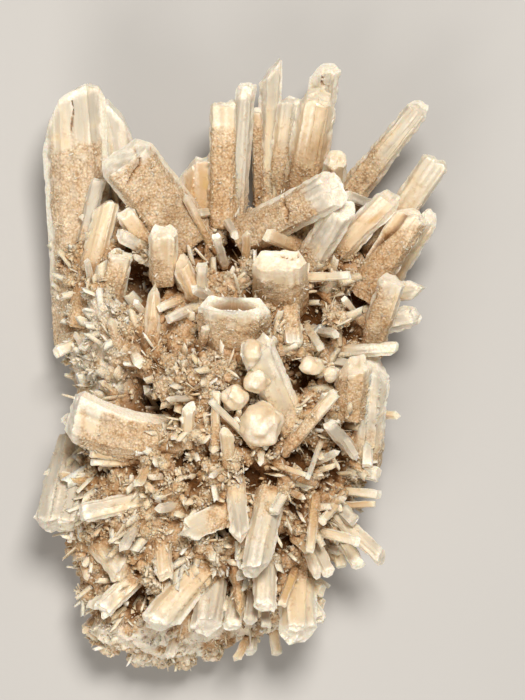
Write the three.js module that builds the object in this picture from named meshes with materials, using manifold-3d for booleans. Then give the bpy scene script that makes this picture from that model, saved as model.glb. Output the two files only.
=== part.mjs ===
// A hand specimen of gypsum: bladed and blocky crystals that radiate from a mound of smaller ones.
// Units are millimetres. The cluster lies on its broken back, with +Z out of its face and +Y
// towards its fan of longest blades. The origin is at the middle of the flat back.
import * as THREE from "three";
import { ConvexGeometry } from "three/addons/geometries/ConvexGeometry.js";
import { mergeVertices } from "three/addons/utils/BufferGeometryUtils.js";
import Module from "manifold-3d";

const wasm = await Module();
wasm.setup();

// The mound that carries the crystals
const MOUND_CENTRE = [-5, -15];
const RIM_HEIGHT = 12; // of its widest level above the broken back
const MOUND_RISE = 23; // from that level to the crown
const CROWN_POWER = 2.6; // the higher, the flatter the crown
const UNDERCUT_POWER = 0.4; // how fast the mound draws in below its widest level
const UNDERCUT_DEPTH = 16;
const MOUND_SIDES = 34;
const MOUND_RINGS = 12;
const MOUND_OUTLINE = [
  [-15, 40], [0, 38], [15, 38], [28, 36], [35, 25], [36, 10], [33, 0], [36, -10], [33, -22],
  [29, -34], [27, -45], [22, -52], [18, -58], [14, -66], [8, -69], [0, -71], [-10, -74.6],
  [-20, -75.6], [-30, -73.8], [-37.5, -71.4], [-39.5, -62], [-41.5, -52], [-44.5, -46], [-42, -34],
  [-42, -22], [-41, -12], [-42, -4], [-45, 6], [-46, 18], [-47, 30], [-44, 40], [-35, 44],
  [-25, 42],
];

// Dark hollows between the crystals: x, y, radius, depth
const PITS = [
  [-25.5, 19, 4.5, 14], [-22, -10, 5, 12], [3, -28, 3.5, 8], [15, -24, 3.5, 8], [18, 11, 4, 8],
  [28, 13.5, 3, 8], [13, -4, 4, 10], [-3, 28, 3, 8], [-13, 29, 2.5, 6], [-14, -24, 3, 6],
  [-24, -58.5, 2.5, 6], [-5, -42, 3, 6], [14, -36, 3, 6], [11, -45, 3, 6], [-4, -57, 3, 7],
];

// How a crystal ends: points across its width, from -1 at one edge to 1 at the other, each with
// how far it stays back from the tip in half widths
const ENDS = {
  flat: [[-1, 0.3], [-0.7, 0], [0.7, 0.06], [1, 0.35]],
  chipped: [[-1, 0.75], [-0.35, 0.2], [0.5, 0], [1, 0.3]],
  slant_left: [[-1, 1.4], [-0.2, 0.25], [0.6, 0], [1, 0.2]],
  slant_right: [[-1, 0.2], [-0.6, 0], [0.2, 0.25], [1, 1.4]],
  steep_left: [[-1, 2.3], [-0.3, 1.3], [0.8, 0], [1, 0.3]],
  steep_right: [[-1, 0.1], [0, 0.5], [0.6, 1.6], [1, 3]],
  rounded: [[-1, 1.1], [-0.6, 0.3], [0, 0], [0.6, 0.25], [1, 1]],
  great: [[-1, 2], [-0.75, 1.08], [-0.4, 0.43], [0.1, 0.14], [0.45, 0], [0.8, 0.14], [1, 0.5]],
  wedge: [[-1, 1.7], [0.1, 0], [1, 1.5]],
  spear: [[-1, 0.9], [0.2, 0], [1, 0.7]],
};

// The crystals: root, tip, width, thickness, end, and root width as a share of the tip's
const UPPER_LEFT = [
  [[-38.5, 4, 13], [-42, 70.2, 24], 17, 10, "great"],
  [[-28.5, 38, 16], [-33.8, 68.6, 20], 9, 7, "steep_right"],
  [[-13.4, 30.8, 24], [-29.4, 51.6, 36], 14.6, 11, "flat"],
  [[-39, 30, 24], [-35, 46, 28], 4, 3, "flat"],
  [[-40.5, 9, 22], [-32.5, 41, 29], 6, 4, "slant_left"],
  [[-24, 30, 27], [-29, 38, 33], 5, 4, "flat"],
  [[-24, 29, 28], [-30.5, 32, 33], 4, 3, "chipped"],
  [[-33, 13, 24], [-29, 28, 31], 6.5, 6, "flat"],
  [[-19, 21, 30], [-18.5, 33, 41], 7, 6, "flat"],
  [[-6, 27, 28], [-14, 42, 34], 2.2, 2, "wedge"],
  [[-4, 38.5, 24], [-10.5, 37, 29], 2.5, 2.2, "flat"],
];
const TOP_FAN = [
  [[-10.4, 34, 18], [-10.2, 53, 21], 11, 7, "slant_left"],
  [[-4.2, 34, 22], [-3.5, 66, 27], 7.6, 7, "flat"],
  [[-1, 36, 24], [1.8, 70.4, 29], 5.4, 6, "chipped"],
  [[6.9, 40, 16], [7.6, 76.8, 20], 6, 5, "steep_left"],
  [[4.5, 40, 20], [4, 63.5, 24], 3.2, 4, "flat"],
  [[10, 43, 18], [13.5, 66.4, 23], 7, 5, "flat"],
  [[15, 38, 22], [20, 67.5, 29], 10, 8, "rounded"],
  [[17.4, 48, 18], [21.6, 75.8, 23], 7.5, 6, "slant_left"],
  [[23, 38, 22], [24.4, 51.6, 28], 6.5, 5, "rounded"],
  [[1, 31, 28], [24.6, 43.2, 43], 10, 8.5, "flat"],
  [[17, 25, 30], [26, 39.5, 39], 8, 6, "chipped"],
  [[34, 39.5, 20], [26.5, 41.5, 27], 3, 2.5, "flat"],
  [[15, 28.5, 30], [6.5, 31.5, 36], 4, 3, "flat"],
];
const RIGHT_FAN = [
  [[26, 40.4, 20], [45.8, 65.2, 27], 6, 5, "rounded", 1.35],
  [[33.2, 26.5, 17], [49.9, 51.3, 25], 7.4, 6, "flat"],
  [[25, 28, 26], [39, 42, 32], 7, 6, "rounded"],
  [[31, 17, 24], [44.5, 38, 31], 9, 7, "chipped"],
  [[37, 18, 19], [48.8, 37.4, 25], 5, 5, "slant_right"],
  [[32.5, 2, 26], [38.5, 21, 34], 7, 6, "flat"],
  [[34, 17, 18], [46.5, 19, 23], 5, 4, "wedge"],
  [[31, 9.7, 18], [45.4, 12, 24], 6.5, 6, "rounded"],
  [[26, 2.5, 30], [39.4, 3.4, 36], 3.6, 2.2, "slant_right"],
  [[14, 21, 32], [27.4, 21.6, 37], 2.6, 2, "flat"],
];
const MIDDLE = [
  [[10.5, 13, 24], [10, 25.4, 45], 13.5, 7.5, "flat"],
  [[12, 17, 30], [13.2, 3.3, 36], 4.6, 4, "flat"],
  [[-9, 13.5, 30], [-9.3, 24.5, 38], 3.2, 3, "flat"],
  [[-9, 12, 28], [-15, 26, 37], 5, 4, "slant_left"],
  [[-9, 15, 30], [-18.3, 10.5, 38], 3, 3, "flat"],
  [[-15, 15.5, 30], [-20, 13.2, 36], 2.4, 2, "flat"],
  [[-22, 2, 28], [-21, 19.5, 35], 3.2, 4, "wedge", 2.4],
  [[-4, 24, 32], [-6, 31.3, 38], 2.5, 2.2, "flat"],
  [[-5, 38.5, 26], [-1, 31.2, 36], 2.6, 2.4, "chipped"],
  [[16.5, 8.8, 32], [20, 3.3, 38], 2.5, 2.2, "flat"],
  [[18, 8, 32], [24, 6.8, 38], 2.6, 2, "chipped"],
  [[31.5, 8.5, 30], [25.6, 15.8, 38], 1.8, 1.6, "flat"],
  [[12.5, -16, 28], [3.2, 5.4, 44], 9, 7.5, "flat"],
  [[4.5, -21.5, 34], [-7.4, -9.1, 43], 1.9, 1.8, "flat"],
  [[-6.3, -25.5, 34], [-5.8, -7, 43], 2.6, 2.2, "flat"],
  [[-2.3, -26.5, 34], [-3.2, -16.3, 42], 4, 2.6, "slant_right"],
  [[-13, -20.5, 32], [-12.3, -10.3, 40], 4, 3, "chipped"],
  [[11, -22.5, 33], [23.7, -7.6, 42], 3.3, 2.8, "flat"],
];
const LEFT_SIDE = [
  [[-14, -18.5, 28], [-41.8, -12.3, 37], 13.5, 9.5, "flat", 0.8],
  [[-39, 5.5, 20], [-46.3, 2, 24], 3.5, 3, "flat"],
  [[-36, 8, 24], [-39.5, 3, 29], 2.6, 2.2, "flat"],
  [[-27.5, 5, 28], [-24.5, -0.7, 35], 3, 2.6, "chipped"],
  [[-41.4, -19, 18], [-45.4, -42.4, 26], 13.5, 8, "chipped", 0.62],
  [[-18, -33, 28], [-39.8, -37.6, 35], 5, 4.5, "flat"],
  [[-27, -23.5, 30], [-37.3, -22.5, 35], 2.5, 2.2, "flat"],
  [[-28, -25, 29], [-37, -24.8, 33], 2, 1.8, "flat"],
  [[-38, -19, 22], [-43.7, -13.6, 27], 3.5, 3, "flat"],
];
const LOWER_LEFT = [
  [[-38.5, -40, 18], [-27.5, -53.2, 30], 9, 6, "slant_left"],
  [[-40.5, -37, 18], [-42.9, -45.3, 22], 1.2, 1, "flat"],
  [[-23, -51, 24], [-35.2, -62.8, 31], 5.5, 5, "flat"],
  [[-30, -61.5, 14], [-39.2, -69.8, 15], 6, 5, "flat"],
  [[-19.8, -41.5, 28], [-18.3, -53.9, 36], 4.8, 4, "flat"],
  [[-6.5, -48, 25], [-21.6, -66.7, 37], 9, 7, "slant_left"],
  [[-7, -52, 22], [-8.8, -67.7, 33], 8, 6, "chipped"],
  [[0, -56, 22], [-2.5, -66.5, 31], 4.8, 4, "flat"],
  [[-3, -37, 34], [-16, -43.2, 41], 6.5, 2.5, "wedge"],
];
const LOWER_MIDDLE = [
  [[20.5, -19, 33], [16.7, -28.7, 41], 1.4, 1.2, "flat"],
  [[9, -25.6, 33], [17.5, -28.1, 40], 1.3, 1.1, "flat"],
  [[8, -32, 31], [3.5, -52.7, 43], 7.5, 6, "slant_left"],
  [[-1, -28.5, 32], [0.5, -44.7, 42], 5, 4, "wedge"],
  [[6.8, -49, 27], [6.5, -61.7, 38], 6, 5, "flat"],
  [[4, -56, 24], [2.5, -65, 33], 3.6, 2.2, "chipped"],
  [[6, -58, 24], [6.5, -66, 31], 3, 2, "flat"],
  [[-1, -48, 28], [0.3, -63.2, 34], 1.4, 2.4, "wedge", 2.8],
  [[13.5, -52, 25], [10.3, -60.3, 34], 2.6, 2.2, "flat"],
  [[14, -53, 18], [14.5, -69.2, 31], 10, 8, "chipped"],
  [[12.5, -55, 16], [19.7, -65.8, 25], 6, 5, "flat"],
  [[13, -55.3, 16], [21.2, -57.6, 23], 4, 3.4, "flat"],
  [[13, -59, 14], [21, -61.1, 20], 3.5, 3, "flat"],
  [[7.5, -62, 12], [9.3, -74.5, 14], 3.2, 3, "flat"],
  [[3, -64, 12], [2.5, -74.2, 15], 3.6, 3, "chipped"],
];
const LOWER_RIGHT = [
  [[31, -26, 18], [33.2, 1.3, 31], 10.5, 9, "slant_right", 0.8],
  [[27, -13, 26], [28, 0.8, 36], 9, 7, "slant_left"],
  [[32, -16, 20], [31.6, -26.4, 26], 3.2, 3, "flat"],
  [[24, -26.8, 18], [34.9, -28.3, 25], 4, 3.5, "flat"],
  [[22, -32, 18], [35.2, -33.1, 24], 2.8, 2.6, "flat"],
  [[20, -36.5, 18], [34, -35.6, 23], 2, 1.8, "flat"],
  [[23, -34.5, 20], [28.7, -39.8, 29], 4, 3, "flat"],
  [[19.6, -34.5, 20], [36.4, -50, 29], 4.2, 4, "slant_left"],
  [[17, -41.7, 24], [29.3, -44.6, 35], 3, 2.6, "flat"],
  [[18.7, -33.3, 29], [17.2, -46.8, 39], 2.6, 2.4, "flat"],
  [[23, -40, 16], [30.3, -51.4, 24], 4, 3.4, "flat"],
  [[22, -40, 16], [25.6, -51.9, 22], 3, 2.6, "flat"],
  [[18, -43, 20], [22.5, -53.2, 30], 3.6, 2.2, "chipped"],
  [[16, -44, 22], [19.5, -53.5, 31], 3, 2.2, "chipped"],
  [[28, -22, 27], [22, -15, 38], 3.8, 3, "flat"],
  [[27, -32, 22], [20.2, -39.8, 34], 2.6, 2.2, "flat"],
  [[14.3, -27, 31], [8.3, -37.2, 40], 3, 2.5, "flat"],
];
const CRYSTALS = [
  UPPER_LEFT, TOP_FAN, RIGHT_FAN, MIDDLE, LEFT_SIDE, LOWER_LEFT, LOWER_MIDDLE, LOWER_RIGHT,
].flat();

// The blade with a hollow end, and the hollow itself
const HOLLOW_BLADE = [[-2, 1, 24], [-1.5, 14.6, 46], 18, 10, "flat"];
const HOLLOW = [[-1.7, 10.5, 38.5], [-1.4, 17, 50.5], 12, 3.6, "flat"];

// Rounded nodules: x, y, z of the middle and the three half sizes
const NODULES = [
  [18, -0.7, 36, 3.4, 2.4, 5], [22.7, -2.7, 35, 2.4, 1.8, 4.5], [4.5, -4.5, 41, 3.3, 3.1, 4],
  [-1.5, -8.5, 38.5, 3.4, 2.9, 4.5], [5.5, -15.5, 37, 5.4, 5.6, 6], [3.5, 2.5, 43, 2.8, 3, 4],
  [24, 11, 31, 2.6, 3, 5], [-10, -3, 34, 10, 6, 5.5], [-17, -6, 33, 5, 4.5, 5],
  [-25, -74, 10, 3.6, 3.4, 6], [-14, -73.8, 9, 3.8, 3.9, 6], [-20, -73.6, 12, 3.8, 3.1, 5],
  [-7, -72.4, 9, 3.6, 3.2, 6], [-33, -71, 12, 3.2, 3.1, 5],
];

const NODULE_POINTS = 15;

// Small crystals of the druse, spread over the mound in a spiral
const DRUSE_COUNT = 60;
const DRUSE_LENGTH = [4, 6.5]; // shortest, and what chance adds
const DRUSE_WIDTH = [1.5, 1.6];
const DRUSE_SINK = 2; // how deep their roots are in the mound
const GOLDEN_ANGLE = Math.PI * (3 - Math.sqrt(5));

const FACE_SHARE = 0.55; // flat part of a crystal's width between its two bevelled edges
const ROOT_SINK = 1.5; // least depth of a crystal's root in the mound
const WELD = 1e-4;
const SLIVER = 0.2; // edges shorter than this are closed up after joining
const CUT_SIZE = 400;
const GYPSUM = { color: 0xd7bea0, roughness: 0.85, metalness: 0 };

// A repeatable number from 0 to 1 for item n, one for each channel k
function chance(n, k) {
  const wave = Math.sin(n * 12.9898 + k * 78.233) * 43758.5453;
  return wave - Math.floor(wave);
}

// The mound's outline as angles and radii about its centre, in order
const rim = MOUND_OUTLINE.map(([x, y]) => {
  const dx = x - MOUND_CENTRE[0];
  const dy = y - MOUND_CENTRE[1];
  return { angle: Math.atan2(dy, dx), radius: Math.hypot(dx, dy) };
}).sort((a, b) => a.angle - b.angle);

function rimRadius(angle) {
  const turn = 2 * Math.PI;
  const found = rim.findIndex((point) => point.angle > angle);
  const next = found < 0 ? 0 : found;
  const before = rim[(next + rim.length - 1) % rim.length];
  const after = rim[next];
  const span = (after.angle - before.angle + turn) % turn;
  const along = (angle - before.angle + turn) % turn;
  return before.radius + (after.radius - before.radius) * (along / span);
}

// Broad swells of the mound's surface
function swell(x, y) {
  const broad = 1.6 * Math.sin(x / 6.5 + 0.7) * Math.sin(y / 7.5 - 0.3);
  return broad + 0.9 * Math.sin((x + y) / 4.3);
}

// Height of the mound at a share of the way out to its rim
function crownHeight(x, y, share) {
  const crown = Math.sqrt(Math.max(0, 1 - share ** CROWN_POWER));
  return RIM_HEIGHT + crown * (MOUND_RISE + swell(x, y));
}

// Height of the mound under a point, pits included
function groundHeight(x, y) {
  const dx = x - MOUND_CENTRE[0];
  const dy = y - MOUND_CENTRE[1];
  const share = Math.hypot(dx, dy) / rimRadius(Math.atan2(dy, dx));
  const pits = PITS.map(([px, py, radius, depth]) => {
    return depth * Math.exp(-((x - px) ** 2 + (y - py) ** 2) / radius ** 2);
  });
  return crownHeight(x, y, share) - Math.max(...pits);
}

function toSolid(geometry) {
  geometry.deleteAttribute("normal");
  geometry.deleteAttribute("uv");
  const merged = mergeVertices(geometry, WELD);
  return new wasm.Manifold(
    new wasm.Mesh({
      numProp: 3,
      vertProperties: merged.attributes.position.array,
      triVerts: new Uint32Array(merged.index.array),
    }),
  );
}

// The mound is a ball whose points are moved out to the rim and up to the crown
function moundSolid() {
  const ball = new THREE.SphereGeometry(1, MOUND_SIDES, MOUND_RINGS).rotateX(Math.PI / 2);
  const points = ball.attributes.position;
  for (let i = 0; i < points.count; i++) {
    const level = points.getZ(i);
    const ringShare = Math.hypot(points.getX(i), points.getY(i));
    const share = level < 0 ? ringShare ** UNDERCUT_POWER : ringShare;
    const angle = Math.atan2(points.getY(i), points.getX(i));
    const reach = share * rimRadius(angle);
    const x = MOUND_CENTRE[0] + reach * Math.cos(angle);
    const y = MOUND_CENTRE[1] + reach * Math.sin(angle);
    const z = level < 0 ? RIM_HEIGHT + level * UNDERCUT_DEPTH : crownHeight(x, y, share);
    points.setXYZ(i, x, y, z);
  }
  return toSolid(ball);
}

function pitSolid([x, y, radius, depth]) {
  const pit = new THREE.IcosahedronGeometry(1, 0).scale(radius, radius, depth);
  const angle = Math.atan2(y - MOUND_CENTRE[1], x - MOUND_CENTRE[0]);
  const share = Math.hypot(x - MOUND_CENTRE[0], y - MOUND_CENTRE[1]) / rimRadius(angle);
  return toSolid(pit.translate(x, y, crownHeight(x, y, share)));
}

// A six-sided blade: two broad faces, bevelled edges and an end of its own
function crystalSolid([rootAt, tipAt, width, thick, end, spread = 1], index, flat = FACE_SHARE) {
  const tip = new THREE.Vector3(...tipAt);
  const root = new THREE.Vector3(...rootAt);
  root.z = Math.min(root.z, groundHeight(root.x, root.y) - ROOT_SINK);
  const along = tip.clone().sub(root).normalize();
  const across = along.clone().cross(new THREE.Vector3(0, 0, 1)).normalize();
  const front = across.clone().cross(along);
  const place = (start, back, u, v, share) =>
    start
      .clone()
      .addScaledVector(along, -back)
      .addScaledVector(across, (u * width * share) / 2)
      .addScaledVector(front, (v * thick * share) / 2);
  const section = [-1, -flat, flat, 1];
  const depthAt = (u) => Math.min(1, (1 - Math.abs(u)) / (1 - flat));
  const lean = (chance(index, 1) - 0.3) * 0.5 * thick;
  const points = [];
  for (const u of section)
    for (const side of [-1, 1]) points.push(place(root, 0, u, side * depthAt(u), spread));
  for (const [u, back] of ENDS[end])
    for (const side of [-1, 1]) {
      const v = side * depthAt(u);
      points.push(place(tip, (back * width) / 2 + Math.max(0, lean * v), u, v, 1));
    }
  return toSolid(new ConvexGeometry(points));
}

// A lumpy nodule: the hull of points spread over an egg and pushed in or out a little
function noduleSolid([x, y, z, sx, sy, sz], index) {
  const points = [];
  for (let i = 0; i < NODULE_POINTS; i++) {
    const level = 1 - (2 * i + 1) / NODULE_POINTS;
    const ring = Math.sqrt(1 - level * level);
    const angle = i * GOLDEN_ANGLE + index;
    const push = 0.86 + 0.28 * chance(index * NODULE_POINTS + i, 2);
    const lump = new THREE.Vector3(ring * Math.cos(angle) * sx, ring * Math.sin(angle) * sy, level * sz);
    points.push(lump.multiplyScalar(push).add(new THREE.Vector3(x, y, z)));
  }
  return toSolid(new ConvexGeometry(points));
}

// A small crystal of the druse, leaning out from the middle of the mound
function druseSolid(index) {
  const share = 0.99 * Math.sqrt((index + 0.5) / DRUSE_COUNT);
  const angle = ((index * GOLDEN_ANGLE + Math.PI) % (2 * Math.PI)) - Math.PI;
  const reach = share * rimRadius(angle);
  const x = MOUND_CENTRE[0] + reach * Math.cos(angle);
  const y = MOUND_CENTRE[1] + reach * Math.sin(angle);
  const length = DRUSE_LENGTH[0] + DRUSE_LENGTH[1] * chance(index, 4);
  const width = DRUSE_WIDTH[0] + DRUSE_WIDTH[1] * chance(index, 5);
  const turn = angle + (chance(index, 6) - 0.5) * 2.4;
  const rise = 1.3 * (1 - share) + 0.9 * chance(index, 7) - 0.1;
  const reachOut = length / Math.hypot(1, rise);
  const ground = groundHeight(x, y);
  const tip = [x + reachOut * Math.cos(turn), y + reachOut * Math.sin(turn), ground + rise * reachOut];
  return crystalSolid([[x, y, ground - DRUSE_SINK], tip, width, width, "spear"], index, 0);
}

function clusterSolid() {
  const pits = PITS.map(pitSolid);
  const crystals = CRYSTALS.map((crystal, index) => crystalSolid(crystal, index));
  const druse = Array.from({ length: DRUSE_COUNT }, (_, index) => druseSolid(index));
  const nodules = NODULES.map(noduleSolid);
  const hollowBlade = crystalSolid(HOLLOW_BLADE, CRYSTALS.length);
  const mound = pits.reduce((solid, pit) => solid.subtract(pit), moundSolid());
  const joined = [...crystals, ...nodules, ...druse, hollowBlade].reduce(
    (solid, piece) => solid.add(piece),
    mound,
  );
  const above = new THREE.BoxGeometry(CUT_SIZE, CUT_SIZE, CUT_SIZE).translate(0, 0, CUT_SIZE / 2);
  const hollow = crystalSolid(HOLLOW, CRYSTALS.length + 1);
  return outerSkin(joined.subtract(hollow).intersect(toSolid(above)).simplify(SLIVER));
}

// Small gaps that are closed in on all sides are filled: only the outer skin is kept
function outerSkin(solid) {
  const skins = solid.decompose();
  return skins.reduce((largest, skin) => (skin.volume() > largest.volume() ? skin : largest));
}

function toGeometry(solid) {
  const { vertProperties, triVerts } = solid.getMesh();
  const geometry = new THREE.BufferGeometry();
  geometry.setAttribute("position", new THREE.BufferAttribute(vertProperties, 3));
  geometry.setIndex(new THREE.BufferAttribute(triVerts, 1));
  geometry.computeVertexNormals();
  return geometry;
}

const cluster = new THREE.Mesh(toGeometry(clusterSolid()), new THREE.MeshStandardMaterial(GYPSUM));
cluster.name = "gypsum_cluster";
const specimen = new THREE.Group();
specimen.add(cluster);
export default specimen;
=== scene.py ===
"""Looks of a gypsum specimen: bladed crystals on a sandy druse, lying on its broken back.

Shapes are worked out in millimetres in the part's own frame: +Z out of the crystal face, +Y
towards the fan of longest blades. Meshes are written in metres.
"""
import itertools
import math
from collections import namedtuple
from types import SimpleNamespace

import bmesh
import bpy
import numpy as np
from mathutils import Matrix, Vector


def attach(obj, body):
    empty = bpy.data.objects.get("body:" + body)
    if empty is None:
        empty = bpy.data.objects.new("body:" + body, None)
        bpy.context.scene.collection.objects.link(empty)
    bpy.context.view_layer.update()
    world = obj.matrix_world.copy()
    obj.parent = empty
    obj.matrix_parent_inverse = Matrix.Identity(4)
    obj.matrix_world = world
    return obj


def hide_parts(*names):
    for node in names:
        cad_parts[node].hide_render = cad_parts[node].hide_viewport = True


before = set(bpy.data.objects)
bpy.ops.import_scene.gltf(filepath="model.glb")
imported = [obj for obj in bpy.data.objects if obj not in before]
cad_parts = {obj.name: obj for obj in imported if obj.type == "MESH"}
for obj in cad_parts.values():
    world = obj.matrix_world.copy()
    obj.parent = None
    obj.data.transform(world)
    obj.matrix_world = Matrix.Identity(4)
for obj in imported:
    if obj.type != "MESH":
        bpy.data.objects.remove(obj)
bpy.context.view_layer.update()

MM = 0.001
NODE = "gypsum_cluster"
GOLDEN_ANGLE = math.pi * (3 - math.sqrt(5))
rng = np.random.default_rng(7)

# The mound that carries the crystals, with the solid's own measures
MOUND_CENTRE = np.array([-5.0, -15.0])
RIM_HEIGHT = 12.0
MOUND_RISE = 23.0
CROWN_POWER = 2.6
UNDERCUT_POWER = 0.4
UNDERCUT_DEPTH = 16.0
MOUND_OUTLINE = [
    (-15, 40), (0, 38), (15, 38), (28, 36), (35, 25), (36, 10), (33, 0), (36, -10), (33, -22),
    (29, -34), (27, -45), (22, -52), (18, -58), (14, -66), (8, -69), (0, -71), (-10, -74.6),
    (-20, -75.6), (-30, -73.8), (-37.5, -71.4), (-39.5, -62), (-41.5, -52), (-44.5, -46), (-42, -34),
    (-42, -22), (-41, -12), (-42, -4), (-45, 6), (-46, 18), (-47, 30), (-44, 40), (-35, 44),
    (-25, 42),
]
MOUND_SIDES = 350
MOUND_RINGS = 150

# Hollows between the crystals, darkened with painted shade: x, y, radius, depth
PITS = [
    (-25.5, 19, 4.5, 14), (-22, -10, 5, 12), (3, -28, 3.5, 8), (15, -24, 3.5, 8), (18, 11, 4, 8),
    (28, 13.5, 3, 8), (13, -4, 4, 10), (-3, 28, 3, 8), (-13, 29, 2.5, 6), (-14, -24, 3, 6),
    (-24, -58.5, 2.5, 6), (-5, -42, 3, 6), (14, -36, 3, 6), (11, -45, 3, 6), (-4, -57, 3, 7),
]

# How a crystal ends: points across its width and how far each stays back, in half widths
ENDS = {
    "flat": [(-1, 0.3), (-0.7, 0), (0.7, 0.06), (1, 0.35)],
    "chipped": [(-1, 0.75), (-0.35, 0.2), (0.5, 0), (1, 0.3)],
    "slant_left": [(-1, 1.4), (-0.2, 0.25), (0.6, 0), (1, 0.2)],
    "slant_right": [(-1, 0.2), (-0.6, 0), (0.2, 0.25), (1, 1.4)],
    "steep_left": [(-1, 2.3), (-0.3, 1.3), (0.8, 0), (1, 0.3)],
    "steep_right": [(-1, 0.1), (0, 0.5), (0.6, 1.6), (1, 3)],
    "rounded": [(-1, 1.1), (-0.6, 0.3), (0, 0), (0.6, 0.25), (1, 1)],
    "great": [(-1, 2), (-0.75, 1.08), (-0.4, 0.43), (0.1, 0.14), (0.45, 0), (0.8, 0.14), (1, 0.5)],
    "wedge": [(-1, 1.7), (0.1, 0), (1, 1.5)],
    "spear": [(-1, 0.9), (0.2, 0), (1, 0.7)],
}

# How a crystal looks: tint from milky 0 over cream and tan to honey 1, the share of its length
# under sand, the share of its width in white rims (partly real chalk, partly a painted highlight
# along the edges), the white length at its tip in millimetres, and which edge has the rim, 0 for both
FINISHES = {
    "great": (0.16, 0.8, 0.2, 3.4, 0),
    "horn": (0.3, 0.9, 0.55, 2.2, 1),
    "layered": (0.12, 0.35, 0.3, 3.0, 0),
    "sandy": (0.42, 0.9, 0.12, 1.6, 0),
    "half": (0.32, 0.62, 0.14, 1.6, 0),
    "bare": (0.28, 0.36, 0.2, 3.2, 0),
    "milky": (0.05, 0.2, 0.05, 2.5, 0),
    "honey": (0.5, 0.3, 0.34, 2.2, 0),
    "white": (0.16, 0.4, 0.3, 5.0, 0),
    "cap": (0.4, 0.74, 0.0, 6.5, 0),
    "tan": (0.56, 0.55, 0.15, 1.8, 0),
    "brown": (0.86, 0.8, 0.0, 0.4, 0),
    "tube": (0.4, 0.86, 0.0, 3.0, 0),
    "snow": (0.0, 0.1, 0.9, 9.0, 0),
    "frosted": (0.3, 0.84, 0.2, 5.0, 0),
    "leaf": (0.3, 0.5, 0.2, 3.0, 0),
    "slab": (0.28, 0.97, 0.14, 1.3, 0),
    "combed": (0.05, 0.2, 0.05, 2.5, 0),
}

# How worn a crystal is and how thick its sand, where it is less than on the others
WORN = {"cap": 0.3, "tube": 0.4, "horn": 0.4, "slab": 0.35, "great": 0.6}
THIN_SAND = {"great": 0.88}
HORN_BEND = 2.0  # how far the horn-like blade sags in its middle
FULL_COAT = ("great", "horn", "slab", "cap", "tube", "frosted", "brown")  # sand up to a clear edge
SAND_SLANT = 0.3  # how much higher the sand may reach on one side, in lengths
SAND_FADE = 0.22  # the stretch where it thins out, in lengths
CLEAR_FADE = 0.05  # the same where it has a clear edge
SAND_BORDER = 0.8  # half the width of that edge
ROOT_WARM = 1.4  # how much browner the sand is towards the roots of tinted crystals

# Honey-coloured places on the crystals: x, y and the two half sizes
HONEY_SPOTS = [
    (-37, 60.5, 3.2, 2.4), (-44.5, 55.5, 2.6, 1.6), (18, 28.5, 2.2, 1.8), (38, 17, 2.4, 2.2),
    (29.5, -5, 1.3, 3), (-9, 45, 3, 6), (-38, -13, 3, 2), (33, 36, 4, 1.6),
]

# Cracks and grooves seen from the face: half width, then a run of x, y
CRACKS = [
    (0.14, [(-42, 66), (-41.6, 62), (-42, 57.5)]),
    (0.24, [(-27.2, 53.7), (-24.4, 49.2), (-27.8, 44.3)]),
    (0.26, [(11, 41.5), (11.6, 34.5)]),
    (0.85, [(32, 27.6), (37.5, 32.2), (42, 37)]),
    (0.3, [(20.4, 72.6), (20.8, 68.8)]),
    (0.16, [(10.3, 25.9), (13, 25.5), (16.2, 26.4)]),
]

# The crystals: root, tip, width, thickness, end, finish, root width as a share of the tip's
UPPER_LEFT = [
    ((-38.5, 4, 13), (-42, 70.2, 24), 17, 10, "great", "great"),
    ((-28.5, 38, 16), (-33.8, 68.6, 20), 9, 7, "steep_right", "white"),
    ((-13.4, 30.8, 24), (-29.4, 51.6, 36), 14.6, 11, "flat", "slab"),
    ((-39, 30, 24), (-35, 46, 28), 4, 3, "flat", "milky"),
    ((-40.5, 9, 22), (-32.5, 41, 29), 6, 4, "slant_left", "tan"),
    ((-24, 30, 27), (-29, 38, 33), 5, 4, "flat", "tan"),
    ((-24, 29, 28), (-30.5, 32, 33), 4, 3, "chipped", "white"),
    ((-33, 13, 24), (-29, 28, 31), 6.5, 6, "flat", "sandy"),
    ((-19, 21, 30), (-18.5, 33, 41), 7, 6, "flat", "half"),
    ((-6, 27, 28), (-14, 42, 34), 2.2, 2, "wedge", "tan"),
    ((-4, 38.5, 24), (-10.5, 37, 29), 2.5, 2.2, "flat", "bare"),
]
TOP_FAN = [
    ((-10.4, 34, 18), (-10.2, 53, 21), 11, 7, "slant_left", "honey"),
    ((-4.2, 34, 22), (-3.5, 66, 27), 7.6, 7, "flat", "sandy"),
    ((-1, 36, 24), (1.8, 70.4, 29), 5.4, 6, "chipped", "white"),
    ((6.9, 40, 16), (7.6, 76.8, 20), 6, 5, "steep_left", "bare"),
    ((4.5, 40, 20), (4, 63.5, 24), 3.2, 4, "flat", "sandy"),
    ((10, 43, 18), (13.5, 66.4, 23), 7, 5, "flat", "half"),
    ((15, 38, 22), (20, 67.5, 29), 10, 8, "rounded", "tan"),
    ((17.4, 48, 18), (21.6, 75.8, 23), 7.5, 6, "slant_left", "white"),
    ((23, 38, 22), (24.4, 51.6, 28), 6.5, 5, "rounded", "honey"),
    ((1, 31, 28), (24.6, 43.2, 43), 10, 8.5, "flat", "frosted"),
    ((17, 25, 30), (26, 39.5, 39), 8, 6, "chipped", "white"),
    ((34, 39.5, 20), (26.5, 41.5, 27), 3, 2.5, "flat", "bare"),
    ((15, 28.5, 30), (6.5, 31.5, 36), 4, 3, "flat", "tan"),
]
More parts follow.
